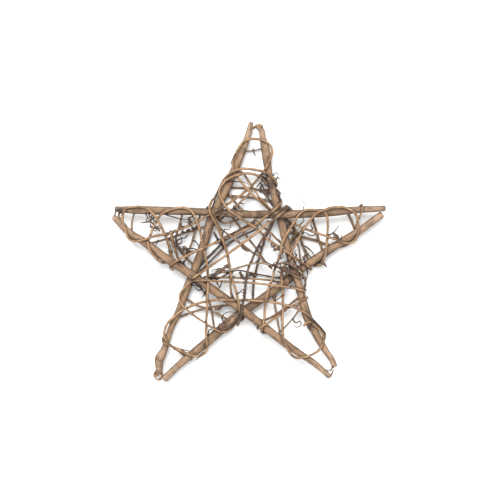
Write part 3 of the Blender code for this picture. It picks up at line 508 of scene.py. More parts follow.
class Wood(Tree):
    """The node tree of a wood, with the patterns that all its layers share."""

    def __init__(self, tree):
        super().__init__(tree)
        grain = self.attribute("grain", "Vector")
        self.pattern = {label: self.noise(grain, *settings) for label, settings in PATTERNS.items()}
        centre = self.math("ABSOLUTE", self.math("SUBTRACT", self.pattern["splits"], 0.5))
        self.split = self.ramp(centre, 0.0, SPLIT_WIDTH, 1.0, 0.0)

    def attribute(self, name, socket="Fac"):
        return self.add("ShaderNodeAttribute", attribute_name=name).outputs[socket]

    def mixed(self, mask, below, above):
        values = {"Factor": mask, "A": below, "B": above}
        return self.add("ShaderNodeMix", values, data_type="RGBA").outputs["Result"]

    def tinted(self, pale, middle, ruddy):
        """Pale and middling streaks, tinted in lengths, at bleached ends and on grey vines."""
        bands = self.pattern["bands"]
        light = self.math("MULTIPLY", bands, 1 - STREAKS_SHARE)
        light = self.math("MULTIPLY_ADD", self.pattern["streaks"], STREAKS_SHARE, light)
        colour = self.mixed(self.ramp(light, *PALE_FROM), (*middle, 1), (*pale, 1))
        colour = self.mixed(self.ramp(self.pattern["lengths"], *RUDDY_FROM, 0.0, ruddy), colour, RUDDY)
        bleached = self.math("MULTIPLY", self.attribute("bleached"), BLEACHING)
        colour = self.mixed(bleached, colour, BLEACHED)
        grey = self.math("MULTIPLY", self.attribute("grey"), self.ramp(bands, *GREY_FROM, GREY_LEAST, 1.0))
        return self.mixed(grey, colour, WEATHERED)

    def shaded(self, colour, dark):
        """The colour, darkened towards the dark one by the wood's own marks and by painted shade on the
        flanks, in the grooves and near other stems.
        """
        masks = {
            "blotches": self.pattern["blotches"],
            "dark lengths": self.pattern["lengths"],
            # the grooves darken where the fibre noise sinks the surface: partly grain, partly painted shade
            "grooves": self.attribute("fibre"),
            "knots": self.attribute("knot"),
            "splits": self.split,
            # painted shade on the flanks, from how squarely the surface faces up or down
            "flanks": self.math("MULTIPLY_ADD", self.pattern["blotches"], 0.5, self.attribute("front")),
            # painted shade where another stem is near
            "crossings": self.attribute("painted_contact_shade"),
        }
        keep = self.math("ADD", self.attribute("tone"), 0.5, clamp=True)
        for label, (share, limits) in SHADES.items():
            mask = self.ramp(masks[label], *limits) if limits else masks[label]
            keep = self.math("MULTIPLY", keep, self.math("MULTIPLY_ADD", mask, -share, 1.0))
        return self.mixed(keep, (*dark, 1), colour)


print("patterns in a wood:", list(PATTERNS))

# %% The woods
BARK = (0.034, 0.022, 0.016, 1)
FLAKINESS = 4.5  # how ragged the edge of a patch of bark is
THICKEST_BARK = 0.85  # how much of the wood's colour the bark hides at most
BARK_FROM = (0.5, 0.75)
BARK_EDGE = 0.25
RUDDY_BARK_FROM = (0.46, 0.7)
SPLIT_DEPTH = 1.2  # how deep a split is, beside a streak
RELIEF = {"Strength": 0.6, "Distance": 0.00012}
SHINE = 0.3
WOODS = {  # the slot: its material's name, how ruddy and how rough it is, its pale, middling and dark colour
    "peeled_stick": (
        "peeled wood", 0.3, 0.6, (0.325, 0.207, 0.12), (0.215, 0.131, 0.074), (0.026, 0.015, 0.01),
    ),
    "vine_tan": (
        "tan vine", 0.5, 0.55, (0.44, 0.273, 0.144), (0.235, 0.138, 0.071), (0.02, 0.011, 0.007),
    ),
    "vine_brown": (
        "brown vine", 0.5, 0.6, (0.14, 0.091, 0.063), (0.085, 0.053, 0.037), (0.018, 0.011, 0.008),
    ),
}


def wood(name, ruddy, roughness, pale, middle, dark):
    material = bpy.data.materials.new(name)
    material.use_nodes = True
    shader = material.node_tree.nodes["Principled BSDF"]
    tree = Wood(material.node_tree)
    colour = tree.shaded(tree.tinted(pale, middle, ruddy), dark)

    bark = tree.attribute("bark")
    ragged = tree.math("SUBTRACT", tree.pattern["flakes"], 0.5)
    patches = tree.math("MULTIPLY_ADD", ragged, FLAKINESS, bark)
    patches = tree.ramp(patches, *BARK_FROM, 0.0, THICKEST_BARK)
    patches = tree.math("MULTIPLY", patches, tree.ramp(bark, 0.0, BARK_EDGE))
    left_on = tree.mixed(tree.ramp(tree.pattern["streaks"], *RUDDY_BARK_FROM), BARK, RUDDY)
    colour = tree.mixed(patches, colour, left_on)

    relief = tree.math("MULTIPLY_ADD", tree.split, -SPLIT_DEPTH, tree.pattern["streaks"])
    relief = tree.math("ADD", relief, patches)
    bump = tree.add("ShaderNodeBump", {"Height": relief, **RELIEF})
    tree.tree.links.new(colour, shader.inputs["Base Color"])
    tree.tree.links.new(bump.outputs["Normal"], shader.inputs["Normal"])
    shader.inputs["Roughness"].default_value = roughness
    shader.inputs["Specular IOR Level"].default_value = SHINE
    return material


woods = {slot: wood(*finish) for slot, finish in WOODS.items()}
print("materials:", [material.name for material in woods.values()])

# %% [markdown]
# ## The five sticks and the vines
#
# No two vines have the same colour. The ones wound last, over the front, are golden. The braces and rungs
# behind are browner, partly in their own colour and partly as painted shade, since they lie under the front
# ones, and a few are grey. One number for each piece says how light it is and one how grey, and the stem tree
# stores both on the mesh for the material to read.

# %% Which vine has which colour
DARK = {"dark_vertical_long", "dark_vertical_short", "rung_dark", "dark_pair"}
GOLDEN = {
    "band_top_to_middle", "diagonal_upper", "diagonal_lower", "loop_right_leg", "strand_right_tip",
    "ribbon_left_and_lower_left", "ribbon_right_upright",
}
BROWN = {
    "upright_lower_right", "upright_right_thin", "hairpin_lower_left_back", "snake_left_upright",
    "snake_right_back", "rung_upper_middle", "hanger_below_crossbar", "tie_left_tip", "rung_lower",
    "upright_left_back", "upright_lower_left", "brace_middle_right", "brace_top_right", "diagonal_falling",
    "brace_top_left", "stick_left_to_right",
}
UMBER = {"brace_middle", "brace_lower_right", "hairpin_top", "hairpin_right_back"}
# the pieces behind are darker partly as painted shade, because they lie under the front ones
TONES = [(GOLDEN, 0.6), (BROWN, 0.3), (UMBER, 0.12)]
MIDDLING_TONE = 0.48
GREYED = {
    "arch_middle": 0.7, "twig_top": 0.8, "snake_left_back": 0.5, "diagonal_falling": 0.6,
    "brace_lower_right_thin": 0.4,
}


def slot_of(name):
    return "peeled_stick" if name.startswith("stick_") else "vine_brown" if name in DARK else "vine_tan"


print("colours given by name:", len(DARK | GOLDEN | BROWN | UMBER | set(GREYED)))

# %% Sweep the sticks and the vines
STICK = {
    "Sides": 36, "Step": 0.0006, "Thickness": 1.0, "Waver": 0.06, "Knot Spacing": 0.045,
    "Knot Swelling": 0.04, "Lumps": 0.0006, "Fibre Depth": 0.0002, "Twist": 3.0, "Bleached Ends": 1.0,
}
VINE = {
    "Sides": 12, "Step": 0.0005, "Thickness": 0.9, "Waver": 0.16, "Knot Spacing": 0.024,
    "Knot Swelling": 0.22, "Lumps": 0.0003, "Fibre Depth": 0.00018, "Twist": 35.0, "Bleached Ends": 0.0,
}

stems = {}
for number, (name, line) in enumerate(sorted(lines.items())):
    tone = next((tone for group, tone in TONES if name in group), MIDDLING_TONE)
    shape = STICK if name.startswith("stick_") else VINE
    settings = {**shape, "Tone": tone, "Grey": GREYED.get(name, 0.0), "Seed": number}
    stems[name] = grow(f"{name}_stem", [line], stem_group, settings, woods[slot_of(name)])
print("stems:", len(stems), "triangles:", sum(len(s.data.polygons) * 2 for s in stems.values()))

# %% [markdown]
# ## Tendrils, shoots and stubs
#
# The winding is full of small growth: wiry tendrils that curl and hang on, hairs, side shoots, thorns, the
# thick stubs of broken twigs, pale shreds and thin strands. Where each lies was read off a photograph of the
# star, in pixels. A ray sent down on each point finds the stem that it lies on. Over a gap the height runs
# straight on, so a tendril bridges it like a spring. Each one is first led back to the nearest stem and down
# into it, because a tendril grows out of something.

# %% Where the small growth lies
PIXEL = 0.000734  # how wide one pixel of the photograph is on the star, in metres
ORIGIN_PIXEL = (248.51, 251.80)  # where the star's origin is seen


def from_photo(points):
    """Plan points in metres, from points that were read off the photograph, in pixels."""
    return (np.array(points, float) - ORIGIN_PIXEL) * (PIXEL, -PIXEL)


TENDRILS = [
    [(146.5, 215.5), (148, 217), (146.8, 219.5), (146.5, 221.5), (148.5, 221)],
    [(149, 215), (151, 217), (152, 219.5), (150, 221), (149.5, 219)],
    [(151, 216), (153.5, 219), (155, 221.5)], [(151.5, 222), (151, 225), (152, 228), (150.5, 226)],
    [(155, 228.5), (157.5, 226.5), (159, 229), (160.5, 231.5), (157.5, 230)],
    [(158, 240), (156.5, 243.5), (154.8, 247)],
    [(166, 214.5), (172, 216.5), (180, 218.8), (188, 219.5), (193, 220)],
    [(193, 214.5), (193, 217.5), (195, 219.5), (192, 221.5), (190, 223)],
    [(183, 222.2), (186.5, 222), (189.5, 224), (190.5, 226)],
    [(180, 224), (182.5, 226.5), (186, 225.5), (188, 224)],
    [(187.5, 230), (187.5, 234), (185, 237.5), (181, 238.5), (177.5, 240), (176.5, 241.5)],
    [(178.5, 233), (181, 238), (181.5, 241.5), (179.5, 243.8), (177, 244)],
    [(182, 247), (184.5, 246), (186, 248), (187.5, 250.5), (190, 251.5), (194, 251)],
    [(185, 249), (189, 248.5), (193, 248.5), (197, 249.8)],
    [(192, 240.5), (196, 242), (198, 245.5), (198.5, 249)], [(173, 234), (174, 231.5), (176, 229)],
    [(225, 181.5), (232, 181.2), (240, 182), (245, 182.5), (248.9, 184.8)],
    [(273, 176), (275.5, 172.5), (278, 173.5), (280, 176)],
    [(276.5, 179), (277.5, 176.5), (279, 178.5), (281, 178)],
    [(256.5, 186.5), (259, 184), (260.5, 182), (262, 185), (264, 188)],
    [(260.5, 186.5), (262, 184.5), (264.5, 183)], [(240, 202.6), (242, 203.6), (244.4, 203.3)],
    [(303, 217), (303.5, 221), (301, 223.8), (299, 225.5)], [(288.5, 234.5), (292, 233.5), (295, 231.5)],
    [(290.5, 245), (292.5, 241.5), (294.5, 239.5), (296, 236.5)],
    [(329.5, 234.8), (333, 232.5), (336.5, 229), (339, 224.5)], [(340.5, 240), (342, 237), (341, 234.5)],
    [(302, 232), (306, 233), (310, 235.5), (314, 235), (316, 233)],
    [(296, 250), (294.5, 253), (296.5, 255)],
    [(230.5, 223.5), (230, 228), (227.5, 230), (225, 229), (223.5, 231.5), (222.5, 235)],
    [(212, 271.5), (213.5, 269.5), (216, 269.8), (219, 268.3), (220.5, 270.3)],
    [(236.5, 294), (240, 292), (241.5, 290), (243.3, 289), (243.7, 291), (241.7, 292.3), (240.8, 291)],
    [(258, 247), (259.5, 245.5), (261, 247), (260, 249.5), (258.5, 249)],
    [(255.5, 252), (258, 248), (259, 246)],
    [(234, 312.5), (228, 312.5), (224, 314.5), (221.7, 318), (223, 321.5), (226, 323)],
    [(218.5, 326.5), (219.5, 323.5), (221, 324.5)],
    [(208, 334.5), (208.6, 330.5), (211, 329.3), (212.7, 331.5), (211, 334.5)],
    [
        (293, 318), (294, 321.5), (297, 323), (300, 321.5), (301.3, 324), (299.5, 326.7), (296.5, 327.5),
        (294.2, 326),
    ],
    [(195, 287), (196, 288.8), (198, 290.5), (201, 290)], [(193, 281), (196, 284), (199, 287), (203, 290)],
    [(236, 153.5), (233, 158.5), (231, 162.5), (230.5, 165)],
    [(222.5, 179), (218.5, 189), (215, 199), (211.5, 208)],
    [(190, 283), (193, 286), (196, 285), (198, 288)], [(180.4, 232.5), (182, 231), (183.5, 232)],
    [(186.5, 231), (187.8, 229.5), (188.5, 231)], [(190, 229.5), (191.5, 228), (192.5, 229.3)],
    [(194, 227.5), (195.5, 226.3), (196.5, 228)], [(290.5, 243.4), (292.5, 245), (294.2, 246)],
    [(265.6, 222), (268, 221)],
]
HAIRS = [[(303, 208.5), (304, 205), (302.5, 201.5), (300, 198.5), (297, 196.5)]]
SHOOTS = [
    [(262.5, 190.5), (265.5, 193), (268, 197), (270, 201), (273, 207)],
    [(264, 194.5), (265.5, 192), (268, 191.5)], [(305, 246), (309, 248.5), (312.5, 252), (315.5, 257)],
    [(304.5, 249), (308.5, 254), (312.5, 259)], [(312, 221), (310.8, 226), (312.5, 228.5), (310.8, 230.5)],
    [(302, 255.5), (304, 259.5), (305.5, 263)], [(304.5, 256.5), (305, 259.5), (306.5, 262)],
    [(206, 291), (203.7, 295), (201, 299)], [(232, 292.5), (233.3, 296.5), (235.3, 300.5)],
    [(215, 280.5), (218, 284), (220, 288)], [(222, 280.5), (220.5, 286), (217.5, 289.5)],
    [(283, 294.5), (280, 297.5), (277, 300.5)], [(276.5, 294), (275.3, 298), (275.8, 301)],
    [(283, 252), (280.5, 255), (281, 258.5)],
    [(114.5, 216.5), (116, 212), (119, 209.3), (122, 211.5), (121.5, 216)],
    [(325, 369), (328.5, 370.7), (331, 369.6), (332.7, 366)], [(331, 375), (332.3, 372), (333.3, 369)],
    [(196.5, 360), (200.5, 355.3), (203.5, 352.5)], [(141, 223), (145, 222.6), (151, 222)],
    [(304, 313), (313, 319.5), (320, 326.5), (324.7, 333.5), (325.5, 339)],
    [(265, 190), (268, 196), (273.5, 206)], [(268, 234.5), (270.5, 236), (269.5, 239)],
    [(233.5, 206), (236.5, 209.5), (239, 212)], [(289, 251.5), (287, 256), (288, 261)],
    [(283, 262), (288, 265), (294, 267.5), (299, 271)],
    [(279, 268), (284, 271), (291, 271.5), (297, 274.5)], [(298, 265), (301.5, 270), (302.5, 277)],
    [(303.5, 263), (307, 268), (307.5, 275), (306, 281)], [(253, 148), (254, 152), (255.7, 155.5)],
    [(182, 246), (185, 249), (187, 253)], [(277.2, 270.5), (280.3, 272.6)], [(281.3, 275), (284.4, 277.2)],
    [(277.8, 276.5), (279.8, 278)], [(171, 234), (173.5, 239), (174.5, 245)],
    [(174.5, 236), (176, 243), (178.5, 249)], [(215, 331), (221, 328.5), (228, 324)],
    [(226, 329), (233, 323.5), (239, 317)],
]
STUBS = [
    [(239.8, 271.5), (241.5, 275), (244, 279)], [(249, 274.8), (252.5, 274.6), (256.5, 275.6)],
    [(214.5, 309), (218, 309), (222, 306.5)], [(283.5, 210.5), (286, 206.5), (289, 208), (291.5, 211.5)],
    [(242, 245.5), (245, 248.8), (249, 250.8)], [(211, 279), (216.5, 274.5), (222, 270), (227.5, 265.5)],
    [(261, 177.5), (264, 180.5), (266, 185)], [(332.5, 232.5), (335.5, 235), (338.5, 239)],
    [(177, 245.5), (181, 249.5), (186.5, 255.5)], [(210, 279), (214, 276.5), (219, 271.5)],
    [(213, 277.5), (217.5, 273.5), (222, 268.5)], [(273.5, 250.6), (275, 249.2), (279.5, 248.4)],
    [(283, 267.5), (289, 270.5), (296, 272.5)], [(219.5, 218.5), (221.5, 216.3), (225, 215)],
]
THORNS = [[(320.5, 261.5), (324, 263.5), (327.6, 268.4)]]
BRACES = [[(213.5, 232), (217, 238), (221, 243.5), (225, 249)]]
PALE_SHREDS = [
    [
        (154, 376.5), (155, 373), (158, 371.7), (161.3, 373.5), (161.5, 377.5), (158.7, 380.2),
        (155.3, 379), (154, 376.5),
    ],
    [(166, 236), (169, 243), (170.5, 250), (172, 257)],
    [(171.5, 233), (172.5, 241), (175, 249), (177.5, 255)], [(222, 271.5), (226, 272.5), (231.6, 272.5)],
]
TAN_STRANDS = [
    [(163.5, 341.5), (167, 344), (176, 347.5), (187, 351), (196, 352.6), (203, 350.5)],
    [(299.8, 228.2), (297.5, 231), (294.7, 233.7), (290.5, 242), (288.2, 248)],
    [(292.8, 225.4), (294.2, 233.7), (296, 238)], [(295.2, 233.7), (300.2, 237)],
    [(304.5, 224.5), (300.5, 231), (297, 238)], [(288.7, 212), (290, 216), (291.5, 219.8)],
    [(285, 218.4), (288, 219.8), (291, 221.6)], [(290, 264), (287.5, 271), (285, 279), (284.5, 287)],
    [(299, 271.5), (300.5, 275), (300, 280)],
]
HOOK = [(262.2, 127.5), (260.5, 125.6), (257.5, 125.4), (254.8, 126.8), (252.6, 129.0)]
NESTS = [  # each with its size in millimetres
    (263, 179, 2.6), (268, 184, 2.6), (266, 193, 1.6), (279, 193, 2.2), (286, 208, 2.4), (276, 264, 3.2),
    (283, 271, 3.2), (291, 270, 3.0), (273, 246, 2.0), (219, 272, 2.8), (226, 266, 1.8), (259, 247, 2.4),
    (244, 248, 1.8), (311, 327, 2.8), (171, 252, 2.8), (170, 240, 2.8), (184, 249, 2.8), (194, 283, 2.6),
    (302, 262, 2.6), (152, 219, 2.4), (181, 226, 2.4), (245, 296, 2.2), (302, 232, 2.4), (292, 241, 2.4),
    (206, 283, 2.2), (206, 347, 2.6), (281, 256, 2.2), (257, 262, 1.4), (160, 360, 2.0), (232, 276, 1.6),
    (213, 276, 2.2), (236, 210, 1.8), (241, 213, 1.8), (120, 212, 1.6), (265, 174, 1.6), (337, 236, 1.6),
    (188, 252, 2.0), (294, 262, 2.2), (158, 229, 1.8), (168, 234, 2.2), (174, 247, 2.2), (190, 219, 2.0),
    # the nests at (291.5, 281) and (292.5, 285) are painted shade: dark bark in a gap between two sticks
    (181.5, 262, 2.4), (184, 265, 2.2), (291.5, 281, 2.4), (292.5, 285, 2.2), (173, 243, 2.4),
    (176, 246, 2.2), (281, 268, 2.2), (284, 276, 2.2), (288, 267, 2.4), (215, 275, 2.4), (225, 271, 1.8),
    (253, 274.5, 2.2), (248, 277, 2.0), (183, 231.5, 1.6), (188, 229.5, 1.6), (193, 227.5, 1.6),
    (262, 190, 2.0), (270, 193, 2.2), (297.5, 234.5, 1.8), (288, 224.5, 2.2), (288.5, 227, 1.6),
    (287, 262, 2.0), (296, 270, 2.0), (222, 213, 2.6), (221, 217, 2.0), (294, 268, 2.8), (289, 273, 2.6),
    (298, 273, 2.4),
]
STAINS = [  # each with its radius in pixels and how thick its bark is
    # the darkest patch, at (222, 213) under a crossing of sticks, is partly bark and partly painted shade
    (222, 213, 5.0, 1.8), (259, 214, 4.0, 0.9), (264, 178, 4.5, 1.5), (270, 184, 5.0, 1.5),
    (279, 192, 4.5, 0.9), (286, 208, 4.0, 1.5), (205, 245, 9.0, 0.45), (207, 232, 8.0, 0.4),
    (311, 327, 5.5, 0.65), (171, 250, 4.0, 0.8), (205, 348, 4.5, 0.55), (158, 360, 4.0, 0.45),
    (276, 265, 6.5, 0.8), (290, 271, 6.0, 0.8), (302, 262, 5.0, 0.6), (271, 217, 5.0, 0.8),
    (247, 300, 4.5, 0.7), (194, 283, 4.0, 0.6), (245, 213, 3.0, 0.5), (254, 135, 3.0, 0.5),
    (120, 212, 4.0, 0.6), (240, 340, 5.0, 0.3), (330, 375, 4.0, 0.4), (380, 205, 3.0, 0.4),
    # the patch at (292, 281) is painted shade in the gap between two sticks
    (172, 243, 8.0, 0.6), (181.5, 263, 4.5, 0.8), (292, 281, 4.0, 0.7), (252, 275, 4.0, 0.7),
    (216, 275, 6.0, 0.6), (283, 270, 8.0, 0.5), (287, 224, 4.0, 0.7), (283, 208, 5.0, 0.9),
    (222, 327, 5.0, 0.5), (232, 321, 5.0, 0.5), (238, 315, 5.0, 0.6),
]

print("growth read off the photograph:", len(TENDRILS + HAIRS + SHOOTS + STUBS + THORNS + BRACES))

# %% Lay the small growth on the winding
STANDS_PROUD = 0.0003
TALLEST = high[2] + STANDS_PROUD
GROWTH_STEP = 0.0004
ROOT_LENGTH = 0.0007  # how quickly growth comes up from the middle of its stem
ABOVE = 0.1  # the height that the rays start from
HEIGHT_SMOOTHINGS = 8
EDGE = 6  # points added at each end while the heights are smoothed


def body_tree(things):
    corners, faces = [], []
    for thing in things:
        start = len(corners)
        corners += [vertex.co.copy() for vertex in thing.data.vertices]
        faces += [[start + i for i in face.vertices] for face in thing.data.polygons]
    return BVHTree.FromPolygons(corners, faces)


winding = body_tree(stems.values())
stem_points = stacked(lines)[0]
stem_plan = line_tree(stem_points * (1, 1, 0))


def lie_on_winding(plan, diameter, sunk, taper):
    """A line over plan points, resting on the front of the winding and tapering to its end."""
    flat = np.column_stack([plan, np.zeros(len(plan))])
    row = smooth_line(flat, np.full(len(flat), diameter / 2), GROWTH_STEP)
    hits = [winding.ray_cast(Vector((x, y, ABOVE)), Vector((0, 0, -1)))[0] for x, y in row[:, :2]]
    found = np.array([i for i, hit in enumerate(hits) if hit is not None])
    heights = np.array([hits[i].z for i in found])
    heights = np.interp(np.arange(len(row)), found, heights) if len(found) else np.full(len(row), high[2] / 2)
    padded = np.pad(heights, EDGE, mode="edge")
    for _ in range(HEIGHT_SMOOTHINGS):
        padded[1:-1] = (padded[:-2] + 2 * padded[1:-1] + padded[2:]) / 4
    row[:, 2] = np.minimum(padded[EDGE:-EDGE] + diameter * (0.5 - sunk), TALLEST - diameter / 2)
    row[:, 3] *= 1 - taper * np.linspace(0, 1, len(row)) ** 2
    return row


def grow_out(plan, diameter, sunk, taper):
    """The same, led back to the nearest stem and down to its middle, so that it grows out of the stem."""
    ends = [(stem_plan.find((*plan[end], 0)), end) for end in (0, -1)]
    (_, stem, _), end = min(ends, key=lambda found: found[0][2])
    plan = plan if end == 0 else plan[::-1]
    row = lie_on_winding(np.concatenate([stem_points[stem][None, :2], plan]), diameter, sunk, taper)
    near_root = np.exp(-GROWTH_STEP * np.arange(len(row)) / ROOT_LENGTH)
    row[:, 2] += near_root * (stem_points[stem][2] - row[:, 2])
    return row


GROWTH = [  # the piece that it belongs to, its plans, its diameter, how far it sinks in and how it tapers
    ("curly_tendrils", TENDRILS, 0.001, 0.2, 0.65),
    ("curly_tendrils", HAIRS, 0.0006, 0.2, 0.65),
    ("side_shoots", SHOOTS, 0.0013, 0.2, 0.65),
    ("broken_stubs", STUBS, 0.0021, 0.35, 0.15),
    ("broken_stubs", THORNS, 0.0026, 0.35, 0.95),
    ("broken_stubs", BRACES, 0.0017, 0.5, 0.1),
    ("pale_shreds", PALE_SHREDS, 0.0021, 0.3, 0.5),
    ("pale_shreds", TAN_STRANDS, 0.0012, 0.3, 0.3),
]
HOOK_SHAPE = (0.0028, 0.5, 0.5)  # its diameter, how far it sinks in and how it tapers

rows = {}
for piece, plans, diameter, sunk, taper in GROWTH:
    rows.setdefault(piece, []).extend(grow_out(from_photo(plan), diameter, sunk, taper) for plan in plans)
rows["pale_shreds"].append(lie_on_winding(from_photo(HOOK), *HOOK_SHAPE))
print("laid on the winding:", {piece: len(lines_of_piece) for piece, lines_of_piece in rows.items()})

# %% [markdown]
# ## Nests of bark
#
# At many crossings the winding holds a little tangle of broken bark and bent fibres. Each of them is nine
# short crooked stems in a tight place, drawn by a generator of random numbers with a fixed seed, so that the
# star is the same each time. They grow out of the nearest stem as the tendrils do. Two of them fill a gap
# between two sticks with dark bark, as painted shade.

# %% Tangles of bark at the crossings
NEST_STEMS = 9
NEST_LENGTHS = (0.8, 2.0)  # shares of the nest's size
NEST_SPREAD = 0.35  # a share of the nest's size
NEST_DIAMETERS = (0.0004, 0.0009)
NEST_SUNK = (0.0, 0.5)
NEST_TAPER = 0.65
SHARPEST_BEND = 3
NEST_POINTS = 5
FIRST_NEST_SEED = 100


def tangle(x, y, size, seed):
    random = np.random.default_rng(seed)
    for _ in range(NEST_STEMS):
        heading = random.uniform(0, 2 * math.pi)
        bend = random.uniform(-SHARPEST_BEND, SHARPEST_BEND)
        length = size * random.uniform(*NEST_LENGTHS)
        angles = heading + bend * np.linspace(-0.5, 0.5, NEST_POINTS)
        steps = np.column_stack([np.cos(angles), np.sin(angles)]) * length / NEST_POINTS
        plan = np.cumsum(steps, axis=0)
        plan += from_photo((x, y)) - plan.mean(axis=0) + random.normal(0, size * NEST_SPREAD, 2)
        yield grow_out(plan, random.uniform(*NEST_DIAMETERS), random.uniform(*NEST_SUNK), NEST_TAPER)


rows["bark_tangles"] = []
for number, (x, y, size) in enumerate(NESTS):
    rows["bark_tangles"].extend(tangle(x, y, size / 1000, FIRST_NEST_SEED + number))
print("bark tangles:", len(NESTS), "with", len(rows["bark_tangles"]), "stems")

# %% Grow them
SMALL = {"Thickness": 1.0, "Lumps": 0.0001, "Knot Swelling": 0.25, "Knot Spacing": 0.006}
SMALL_GROWTH = {  # the slot, and what makes it different
    "curly_tendrils": ("vine_brown", {"Sides": 6, "Step": 0.00035, "Waver": 0.25, "Tone": -0.3}),
    "side_shoots": ("vine_brown", {"Sides": 8, "Step": 0.0004, "Waver": 0.3, "Tone": 0.3}),
    "pale_shreds": ("vine_tan", {"Sides": 12, "Step": 0.0004, "Waver": 0.4, "Lumps": 0.0008, "Tone": 0.4}),
    "broken_stubs": ("vine_brown", {"Sides": 12, "Step": 0.0004, "Waver": 0.5, "Lumps": 0.0009, "Tone": 0.6}),
    "bark_tangles": ("vine_brown", {"Sides": 6, "Step": 0.0004, "Waver": 0.5, "Lumps": 0.0004, "Tone": 0.4}),
}
FIRST_GROWTH_SEED = 60

growth = {}
for number, (name, (slot, settings)) in enumerate(SMALL_GROWTH.items()):
    settings = {**SMALL, **settings, "Seed": FIRST_GROWTH_SEED + number}
    growth[name] = (grow(name, rows[name], stem_group, settings, woods[slot]), slot)
print("small growth:", {name: len(thing.data.polygons) for name, (thing, slot) in growth.items()})

# %% [markdown]
# ## Frayed fibres
#
# Dry vine frays: slivers lift off its surface and stand out along the grain. A second tree sweeps a plain
# tube along the centre lines, scatters points on it, and puts a small bent sliver on each, laid along the
# stem and leaning off its surface. The sliver is only three dozen triangles, because it is repeated hundreds
# of times. Close to the floor nothing is scattered, so that only the tips of a few slivers reach it.

# %% The sliver and which way it lies
CLEAR_OF_FLOOR = 0.0018  # slivers grow only higher than this
SPREAD = 0.35  # how far a sliver strays from the run of the stem
SLIVER_SIDES = 4
SLIVER_STEPS = 4
NARROWING = (0.2, 1.0)  # where along a sliver it begins to narrow, and where it is at its narrowest
TIP_GIRTH = 0.2
TURN_SEED = 3
BOW = {  # a sliver one metre long, before it is scaled
    "Start": (0, 0, 0), "Start Handle": (0.0, 0, 0.4), "End Handle": (0.06, 0, 0.75), "End": (0.3, 0.08, 1.0),
}


def sliver_shape(tree, slenderness):
    """A thin bowed stem with four sides, which narrows to its tip."""
    bow = {"Resolution": SLIVER_STEPS, **BOW}
    bow = tree.add("GeometryNodeCurvePrimitiveBezierSegment", bow).outputs[0]
    thin = tree.add("GeometryNodeSplineParameter").outputs["Factor"]
    thin = tree.math("MULTIPLY", tree.ramp(thin, *NARROWING, 1.0, TIP_GIRTH), slenderness)
    return tree.sweep(bow, tree.circle(SLIVER_SIDES), thin)


def sliver_turn(tree, normal):
    """A turn that lays a sliver along the stem, one way or the other, and leans it off the surface."""
    chance = {0: (-1.0, -1.0, -1.0), 1: (1.0, 1.0, 1.0), "Seed": TURN_SEED}
    chance = tree.add("FunctionNodeRandomValue", chance, data_type="FLOAT_VECTOR").outputs[0]
    chance = tree.add("ShaderNodeSeparateXYZ", {"Vector": chance}).outputs
    run = tree.vector("SCALE", tree.named("run", "FLOAT_VECTOR"), scale=tree.math("SIGN", chance["X"]))
    sideways = tree.vector("CROSS_PRODUCT", run, normal)
    stray = tree.vector("SCALE", sideways, scale=tree.math("MULTIPLY", chance["Y"], SPREAD))
    run = tree.vector("ADD", run, stray)
    turn = tree.add("FunctionNodeAlignRotationToVector", {"Vector": run}, axis="Z").outputs[0]
    lean = {"Rotation": turn, "Vector": normal}
    return tree.add("FunctionNodeAlignRotationToVector", lean, axis="X", pivot_axis="Z").outputs[0]


# %% The fray tree
FRAY_INPUTS = {
    "Density": 20000.0, "Shortest": 0.0012, "Longest": 0.004, "Slenderness": 0.035, "Tone": 0.5, "Seed": 1,
}
JUST_INSIDE = 0.96  # slivers are rooted at this share of the radius
SLIVER_GRAIN = 0.3  # the pattern changes on a sliver at this share of its pace on a stem
SLIVER_FIBRE = 0.6
TUBE_SIDES = 6
LENGTH_SEED = 5


def build_fray_group():
    tree, given = geometry_group("fray", FRAY_INPUTS)
    curve = tree.add("GeometryNodeMeshToCurve", {"Mesh": given["Geometry"]}).outputs[0]
    curve = tree.store(curve, "run", tree.add("GeometryNodeInputTangent").outputs[0], "FLOAT_VECTOR")
    tube = tree.sweep(curve, tree.circle(TUBE_SIDES, JUST_INSIDE), tree.named("girth"), caps=False)
    scatter = {"Mesh": tube, "Density": given["Density"], "Seed": given["Seed"]}
    scattered = tree.add("GeometryNodeDistributePointsOnFaces", scatter, distribute_method="RANDOM").outputs
    span = {2: given["Shortest"], 3: given["Longest"], "Seed": LENGTH_SEED}
    place = tree.add("GeometryNodeInputPosition").outputs[0]
    height = tree.add("ShaderNodeSeparateXYZ", {"Vector": place}).outputs["Z"]
    slivers = {
        "Points": scattered["Points"],
        "Selection": tree.math("GREATER_THAN", height, CLEAR_OF_FLOOR),
        "Instance": sliver_shape(tree, given["Slenderness"]),
        "Rotation": sliver_turn(tree, scattered["Normal"]),
        "Scale": tree.add("FunctionNodeRandomValue", span, data_type="FLOAT").outputs[1],
    }
    mesh = tree.add("GeometryNodeInstanceOnPoints", slivers).outputs[0]
    mesh = tree.add("GeometryNodeRealizeInstances", {"Geometry": mesh}).outputs[0]
    mesh = tree.store(mesh, "grain", tree.vector("SCALE", place, scale=SLIVER_GRAIN), "FLOAT_VECTOR")
    # slivers store no front, so the painted flank shade darkens them fully
    mesh = tree.store(mesh, "tone", given["Tone"])
    mesh = tree.store(mesh, "fibre", SLIVER_FIBRE)
    return finished(tree, mesh, given["Material"])


fray_group = build_fray_group()
print("fray tree:", len(fray_group.nodes), "nodes")

